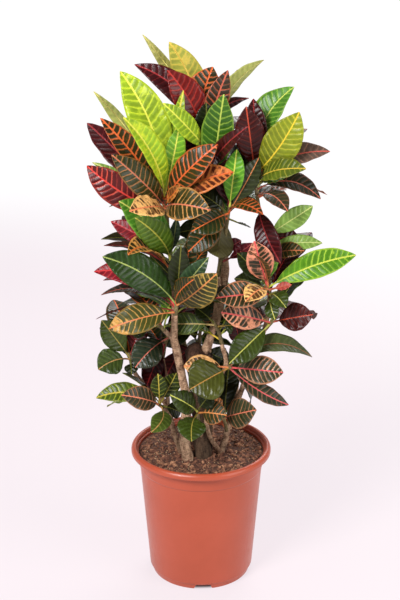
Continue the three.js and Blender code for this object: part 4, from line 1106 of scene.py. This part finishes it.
def makeWood(name):
    dice = random.Random(len(name) * 31)
    bm = startPiece()
    mine = [branch for branch in shootPlan.values() if branch["wood"] == name]
    sheet = BakeSheet(len(mine) + 1)
    for branch in mine:
        wood, green = splitRoute(branch)
        line = smoothRoute(wood, stemLook["wood"]["steps"])
        tube = makeUnitTube("woodStem", stemLook["wood"]["sides"], len(line) - 1)
        addStem(bm, tube, line, stemLook["wood"], sheet, dice)
    finishPiece(bm, "wood_" + name, [barkFinish, barkFinish], "bark", name)


# Nursery pot, in millimetres, on the solid's own profile with its corners rounded.
pot = {
    "height": 265, "rim": 135, "lip": 12, "foot": 96, "base": 99.5, "slope": 0.085, "wall": 2.4,
    "rounding": 2.2, "footTop": 11.5, "floorTop": 14, "band": 224, "mouthInset": 11.2, "mouthDepth": 4,
    "notches": 4, "notchTop": 27, "notchBottom": 37, "notchHeight": 9.5, "notchDepth": 24, "notchTurn": 2.4,
    "drains": 6, "drainRadius": 6, "drainCircle": 62, "drainHeight": 12,
    # shadeLines: height and half-width of each thin line of painted shade at a step of the wall.
    "steps": 144, "shadeLines": ((12.4, 0.9), (223, 1.1), (253.4, 1.6)),
}


potLook = {
    "spots": 11, "scuffs": 150, "grain": 900, "tones": (paint(174, 74, 46), paint(184, 80, 52)),
    # line: the colour of the painted shade lines where the wall meets the foot, under the band step and under
    # the lip.
    "line": paint(120, 48, 32), "dirt": paint(120, 60, 44), "dirtTop": 0.03, "gloss": (0.3, 0.4),
}


def makePotFinish():
    finish = Finish("mouldedPlastic")
    spots = finish.noise(potLook["spots"], 4, 0.6)
    scuffs = finish.noise(potLook["scuffs"], 4, 0.7, stretch=(1, 1, 0.4))
    colour = finish.ramp(spots, *zip((0.3, 0.7), potLook["tones"]))
    # Painted shade: a thin dark line at each step of the wall, where the wall meets the foot, under the band
    # step and under the lip.
    height = finish.height()
    for at, width in pot["shadeLines"]:
        line = finish.rise((height - at * mm).math("ABSOLUTE"), width * mm, 0) * 0.5
        colour = finish.blend(line, colour, potLook["line"])
    dirt = finish.rise(height, potLook["dirtTop"], 0) * finish.rise(scuffs, 0.56, 0.66) * 0.3
    colour = finish.blend(dirt, colour, potLook["dirt"])
    finish.bump(finish.noise(potLook["grain"], 2), 0.12, 0.5)
    gloss = finish.rise(scuffs, 0.35, 0.7, *potLook["gloss"])
    return finish.set(Base_Color=colour, Roughness=gloss)


def wallAt(height):
    return pot["base"] + pot["slope"] * height


def boreAt(height):
    share = max(height - pot["band"], 0) / (pot["height"] - pot["mouthDepth"] - pot["band"])
    straight = wallAt(min(height, pot["band"])) - pot["wall"]
    return straight + (pot["rim"] - pot["mouthInset"] - straight) * share


def roundedProfile(outline, radius, steps=4):
    line = [Vector(outline[0])]
    for before, corner, after in zip(outline, outline[1:], outline[2:]):
        before, corner, after = Vector(before), Vector(corner), Vector(after)
        cut = min(radius, (before - corner).length * 0.45, (after - corner).length * 0.45)
        first = corner + (before - corner).normalized() * cut
        last = corner + (after - corner).normalized() * cut
        for k in range(steps + 1):
            t = k / steps
            line.append(first.lerp(corner, t).lerp(corner.lerp(last, t), t))
    line.append(Vector(outline[-1]))
    return line


def spinProfile(line, steps):
    bm = bmesh.new()
    verts = [bm.verts.new((x * mm, 0, z * mm)) for x, z in line]
    edges = [bm.edges.new(pair) for pair in zip(verts, verts[1:])]
    bmesh.ops.spin(bm, geom=verts + edges, cent=(0, 0, 0), axis=(0, 0, 1), angle=2 * math.pi, steps=steps,
                   use_merge=True)
    bmesh.ops.remove_doubles(bm, verts=bm.verts, dist=1e-6)
    bmesh.ops.recalc_face_normals(bm, faces=bm.faces)
    bmesh.ops.translate(bm, vec=potAxis, verts=bm.verts)
    return bm


def smoothUnder(bm, degrees):
    for face in bm.faces:
        face.smooth = True
    for edge in bm.edges:
        if len(edge.link_faces) == 2 and edge.calc_face_angle() > math.radians(degrees):
            edge.smooth = False


def cutWith(piece, bm):
    cutter = newObject("cutter", meshFrom(bm, "cutter"))
    modifier = piece.modifiers.new("cut", "BOOLEAN")
    modifier.operation = "DIFFERENCE"
    modifier.object = cutter
    graph = bpy.context.evaluated_depsgraph_get()
    cut = bpy.data.meshes.new_from_object(piece.evaluated_get(graph))
    piece.modifiers.clear()
    piece.data = cut
    bpy.data.objects.remove(cutter)


def makePot():
    rim, top, lip = pot["rim"], pot["height"], pot["height"] - pot["lip"]
    foot, footTop, floorTop, band = pot["foot"], pot["footTop"], pot["floorTop"], pot["band"]
    outline = [
        (0, footTop), (foot - 3.4, footTop), (foot - 3.4, 0), (foot - 0.6, 0), (foot + 1.8, footTop),
        (wallAt(footTop + 0.5) + 0.3, footTop + 1.1),
        (wallAt(band) - 0.6, band - 1), (wallAt(band) + 0.6, band + 1), (wallAt(lip) + 0.2, lip + 4),
        (rim - 3, top - 5.6), (rim - 2.4, lip), (rim, lip), (rim, top - 5), (rim - 3.6, top - 0.6),
        (rim - 8, top), (rim - pot["mouthInset"], top - pot["mouthDepth"]), (boreAt(band), band),
        (boreAt(floorTop), floorTop), (0, floorTop),
    ]
    bm = spinProfile(roundedProfile(outline, pot["rounding"]), pot["steps"])
    piece = finishPiece(bm, "nurseryPot", [potFinish], "pot", "pot")
    cutters = bmesh.new()
    for i in range(pot["notches"]):
        made = bmesh.ops.create_cube(cutters, size=1)["verts"]
        for vert in made:
            upper = vert.co.z > 0
            width, z = (pot["notchTop"], pot["notchHeight"]) if upper else (pot["notchBottom"], -1)
            vert.co = Vector((vert.co.x * pot["notchDepth"], vert.co.y * width, z)) * mm
        turn = math.radians(pot["notchTurn"] - 90 + 360 / pot["notches"] * i)
        bmesh.ops.translate(cutters, vec=((foot - 2) * mm, 0, 0), verts=made)
        bmesh.ops.rotate(cutters, matrix=Matrix.Rotation(turn, 3, "Z"), verts=made)
    for i in range(pot["drains"]):
        turn = 2 * math.pi * (i + 0.5) / pot["drains"]
        at = Vector((math.cos(turn), math.sin(turn), 0)) * pot["drainCircle"] + up * pot["drainHeight"]
        radius = pot["drainRadius"] * mm
        bmesh.ops.create_cone(cutters, cap_ends=True, segments=24, radius1=radius, radius2=radius,
                              depth=10 * mm, matrix=Matrix.Translation(at * mm))
    bmesh.ops.translate(cutters, vec=potAxis, verts=cutters.verts)
    cutWith(piece, cutters)
    bm = bmesh.new()
    bm.from_mesh(piece.data)
    smoothUnder(bm, 28)
    bm.to_mesh(piece.data)
    bm.free()


# Potting mix: a lumpy mound of bark chips, pale specks and fine roots.
mix = {
    "level": 252, "mound": 4, "steps": 150, "rings": 46, "gap": 1.2, "settled": 0.8, "edge": 5,
    "lump": 3, "lumps": ((9, 3, 0.6), (4, 9, 0.4)), "chips": 1500, "chipLength": (1.8, 11), "specks": 420,
    "speckLength": (0.9, 2.6), "mostlySmall": 2.2, "uneven": 0.16, "lean": (0.42, 0.36), "sink": 0.2,
    "roundFrom": 2.5, "rounding": 0.5, "fibres": 40, "fibreLength": (10, 26), "fibreRadius": (0.35, 0.8),
    "fibreWander": 3, "fibreLift": 0.9,
}


def mixRadius(height):
    return boreAt(height) - mix["gap"]


def mixHeight(x, y):
    reach = math.hypot(x, y) / mixRadius(mix["level"])
    mound = mix["mound"] * (1 - reach**2)
    lumps = sum(noise.noise(Vector((x, y, z)) / size) * share for size, z, share in mix["lumps"])
    return mix["level"] + mound - mix["settled"] + mix["lump"] * lumps * smooth(1.0, 0.9, reach)


def makeMixFinish(name, dark, mid, light, scale):
    finish = Finish(name)
    grain = finish.noise(scale, 6, 0.68)
    colour = finish.ramp(grain, (0.32, paint(*dark)), (0.5, paint(*mid)), (0.68, paint(*light)))
    finish.bump(grain, 1.6, 1)
    return finish.set(Base_Color=colour, Roughness=finish.rise(grain, 0.3, 0.7, 0.78, 0.97))


def makeMix():
    floorTop = pot["floorTop"] + leafRule["seatGap"]
    reach = mixRadius(mix["level"])
    line = [(0, floorTop), (mixRadius(floorTop), floorTop), (mixRadius(pot["band"]), pot["band"])]
    line += [(reach * (1 - k / mix["rings"]), mix["level"]) for k in range(mix["rings"] + 1)]
    bm = spinProfile([Vector(p) for p in line], mix["steps"])
    for vert in bm.verts:
        if vert.co.z > (mix["level"] - 1) * mm:
            x, y = (vert.co.x - potAxis.x) / mm, (vert.co.y - potAxis.y) / mm
            vert.co.z = mixHeight(x, y) * mm
    smoothUnder(bm, 50)
    finishPiece(bm, "pottingMix", [mixFinish], "mix", "soil")


def onMix(dice):
    reach = (mixRadius(mix["level"]) - mix["edge"]) * math.sqrt(dice.random())
    turn = dice.uniform(0, 2 * math.pi)
    x, y = reach * math.cos(turn), reach * math.sin(turn)
    return Vector((x, y, mixHeight(x, y))) * mm + potAxis


def scatterChips(name, count, sizes, flat, finish, seed, kind="cube"):
    dice = random.Random(seed)
    bm = bmesh.new()
    uneven, (leanX, leanY) = mix["uneven"], mix["lean"]
    for _ in range(count):
        before = len(bm.verts)
        if kind == "cube":
            bmesh.ops.create_cube(bm, size=1)
        else:
            bmesh.ops.create_icosphere(bm, subdivisions=1, radius=0.5)
        bm.verts.ensure_lookup_table()
        made = bm.verts[before:]
        length = sizes[0] + (sizes[1] - sizes[0]) * dice.random() ** mix["mostlySmall"]
        size = Vector((length, length * dice.uniform(*flat), length * dice.uniform(0.18, 0.4)))
        if kind != "cube":
            size = Vector((length, length * 0.9, length * 0.8))
        for vert in made:
            vert.co += Vector(dice.uniform(-uneven, uneven) for _ in range(3))
            vert.co = Vector(a * b * mm for a, b in zip(vert.co, size))
        turn = Matrix.Rotation(dice.uniform(0, 6.3), 3, "Z") @ Matrix.Rotation(dice.gauss(0, leanX), 3, "X")
        turn = turn @ Matrix.Rotation(dice.gauss(0, leanY), 3, "Y")
        bmesh.ops.rotate(bm, matrix=turn, verts=made)
        bmesh.ops.translate(bm, vec=onMix(dice) + up * size.z * mix["sink"] * mm, verts=made)
    if kind == "cube":
        edges = [edge for edge in bm.edges if edge.calc_length() > mix["roundFrom"] * mm]
        bmesh.ops.bevel(bm, geom=edges, offset=mix["rounding"] * mm, affect="EDGES", segments=1, profile=0.5,
                        material=-1)
    smoothUnder(bm, 50)
    finishPiece(bm, name, [finish], "mix")


def makeFibres():
    dice = random.Random(77)
    bm = startPiece()
    sheet = BakeSheet(mix["fibres"])
    tube = makeUnitTube("fibre", 5, 12)
    for _ in range(mix["fibres"]):
        at = onMix(dice)
        way = Matrix.Rotation(dice.uniform(0, 6.3), 3, "Z") @ Vector((1, 0, 0))
        length = dice.uniform(*mix["fibreLength"])
        wander = mix["fibreWander"]
        places = []
        for k in range(3):
            point = at + way * (k - 1) * length / 2 * mm
            point += Vector((dice.uniform(-wander, wander), dice.uniform(-wander, wander), 0)) * mm
            if (point - potAxis).length > (mixRadius(mix["level"]) - 3) * mm:
                point = at + (point - at) * 0.2
            x, y = (point.x - potAxis.x) / mm, (point.y - potAxis.y) / mm
            point.z = mixHeight(x, y) * mm + mix["fibreLift"] * mm
            places.append({"at": point, "radius": dice.uniform(*mix["fibreRadius"]) * mm})
        addStem(bm, tube, smoothRoute(places, 6), stemLook["green"], sheet, dice)
    finishPiece(bm, "fineRoots", [twigFinish, twigFinish], "mix")


# Studio: a wide pale floor that glows white far off, big soft lights, and brighter air behind the plant.
# Nearer the pot the floor's glow is painted light: greyer round a spot to the left of and behind the pot,
# with a pinkish tint of painted bounce from the pot, and a painted shadow under the pot.
studio = {
    "floor": 40, "key": (-1.7, -2.4, 2.7, 134, 1.3), "fill": (2.4, -1.6, 1.6, 50, 1.8),
    "back": (0.6, 2.0, 2.4, 45, 1.6), "aim": 0.55, "air": (0.98, 0.97, 1.0, 1),
    "airDepth": {"From Min": -0.5, "From Max": 0.6, "To Min": 0.16, "To Max": 0.4},
    "near": (0.18, 0.15, 0.15), "far": (0.02, 0.02, 0.02),
    "paintedNearGlow": (0.73, 0.68, 0.72), "farGlow": (1.0, 0.99, 1.0),
    "paintedGreyCentre": (-1.1, 0.5, 0), "fade": (1.3, 2.7), "paintedShadowUnderPot": (0.084, 0.097, 0.04, 1),
}


def addLight(name, x, y, z, power, size):
    data = bpy.data.lights.new(name, "AREA")
    data.energy = power
    data.size = size
    light = newObject(name, data)
    light.location = potAxis + Vector((x, y, z))
    way = potAxis + Vector((0, 0, studio["aim"])) - light.location
    light.rotation_euler = way.to_track_quat("-Z", "Y").to_euler()


def makeStudio():
    bm = bmesh.new()
    bmesh.ops.create_grid(bm, x_segments=8, y_segments=8, size=studio["floor"])
    bmesh.ops.translate(bm, vec=potAxis, verts=bm.verts)
    mesh = meshFrom(bm, "paleFloor")
    finish = Finish("paleFloor")
    # Painted light on the floor's glow: dimmer and pinkish, as if bounced from the pot, round a spot left of
    # and behind the pot, and evenly white far off.
    middle = potAxis + Vector(studio["paintedGreyCentre"])
    far = finish.rise(finish.distance(middle), *studio["fade"])
    # Painted shadow: the floor's glow drops nearly to black under the pot's foot.
    shade = finish.rise(finish.distance(potAxis), *studio["paintedShadowUnderPot"])
    glow = finish.shaded(finish.blend(far, studio["paintedNearGlow"], studio["farGlow"]), shade)
    colour = finish.blend(far, studio["near"], studio["far"])
    finish.set(Base_Color=colour, Emission_Color=glow, Emission_Strength=1.0, Roughness=0.9)
    mesh.materials.append(finish.material)
    floor = newObject("paleFloor", mesh)
    for name in ("key", "fill", "back"):
        addLight(name, *studio[name])
    world = bpy.data.worlds.new("studioAir")
    world.use_nodes = True
    tree = world.node_tree
    air = tree.nodes["Background"]
    air.inputs["Color"].default_value = studio["air"]
    where = tree.nodes.new("ShaderNodeTexCoord")
    parts = tree.nodes.new("ShaderNodeSeparateXYZ")
    depth = tree.nodes.new("ShaderNodeMapRange")
    for socket, value in studio["airDepth"].items():
        depth.inputs[socket].default_value = value
    tree.links.new(where.outputs["Generated"], parts.inputs[0])
    tree.links.new(parts.outputs["Y"], depth.inputs["Value"])
    tree.links.new(depth.outputs[0], air.inputs["Strength"])
    bpy.context.scene.world = world


bpy.context.scene.view_settings.view_transform = "Standard"
makeStudio()
print("studio set")

bladeSheet = makeBladeSheet()
ribTube = makeUnitTube("ribTube", leafLook["ribSides"], leafLook["ribSteps"])
leafFinish = makeLeafFinish()
greenStemFinish = makeBark("youngBark", paint(150, 132, 92), paint(92, 84, 54), 240)
barkFinish = makeBark("oldBark", paint(212, 172, 140), paint(120, 88, 66), 170)
potFinish = makePotFinish()
mixFinish = makeMixFinish("darkMix", (36, 20, 17), (82, 50, 38), (146, 100, 74), 170)
chipFinish = makeMixFinish("barkChips", (62, 34, 26), (122, 77, 57), (200, 148, 110), 95)
speckFinish = makeMixFinish("paleSpecks", (170, 132, 96), (208, 176, 132), (226, 206, 172), 40)
twigFinish = makeMixFinish("fineRoots", (110, 82, 60), (150, 116, 88), (186, 156, 126), 200)
print("finishes made")

makePot()
makeMix()
scatterChips("barkChips", mix["chips"], mix["chipLength"], (0.35, 0.8), chipFinish, 11)
scatterChips("paleSpecks", mix["specks"], mix["speckLength"], (0.7, 1), speckFinish, 23, "ball")
makeFibres()
print("pot filled")

for name in ("trunk_front", "trunk_centre", "trunk_right", "trunk_left"):
    makeWood(name)
print("wood grown")

leafCount = 0
for order, (name, branch) in enumerate(shootPlan.items()):
    leafCount += makeShoot(name, branch, order)
print("leaves placed:", leafCount)
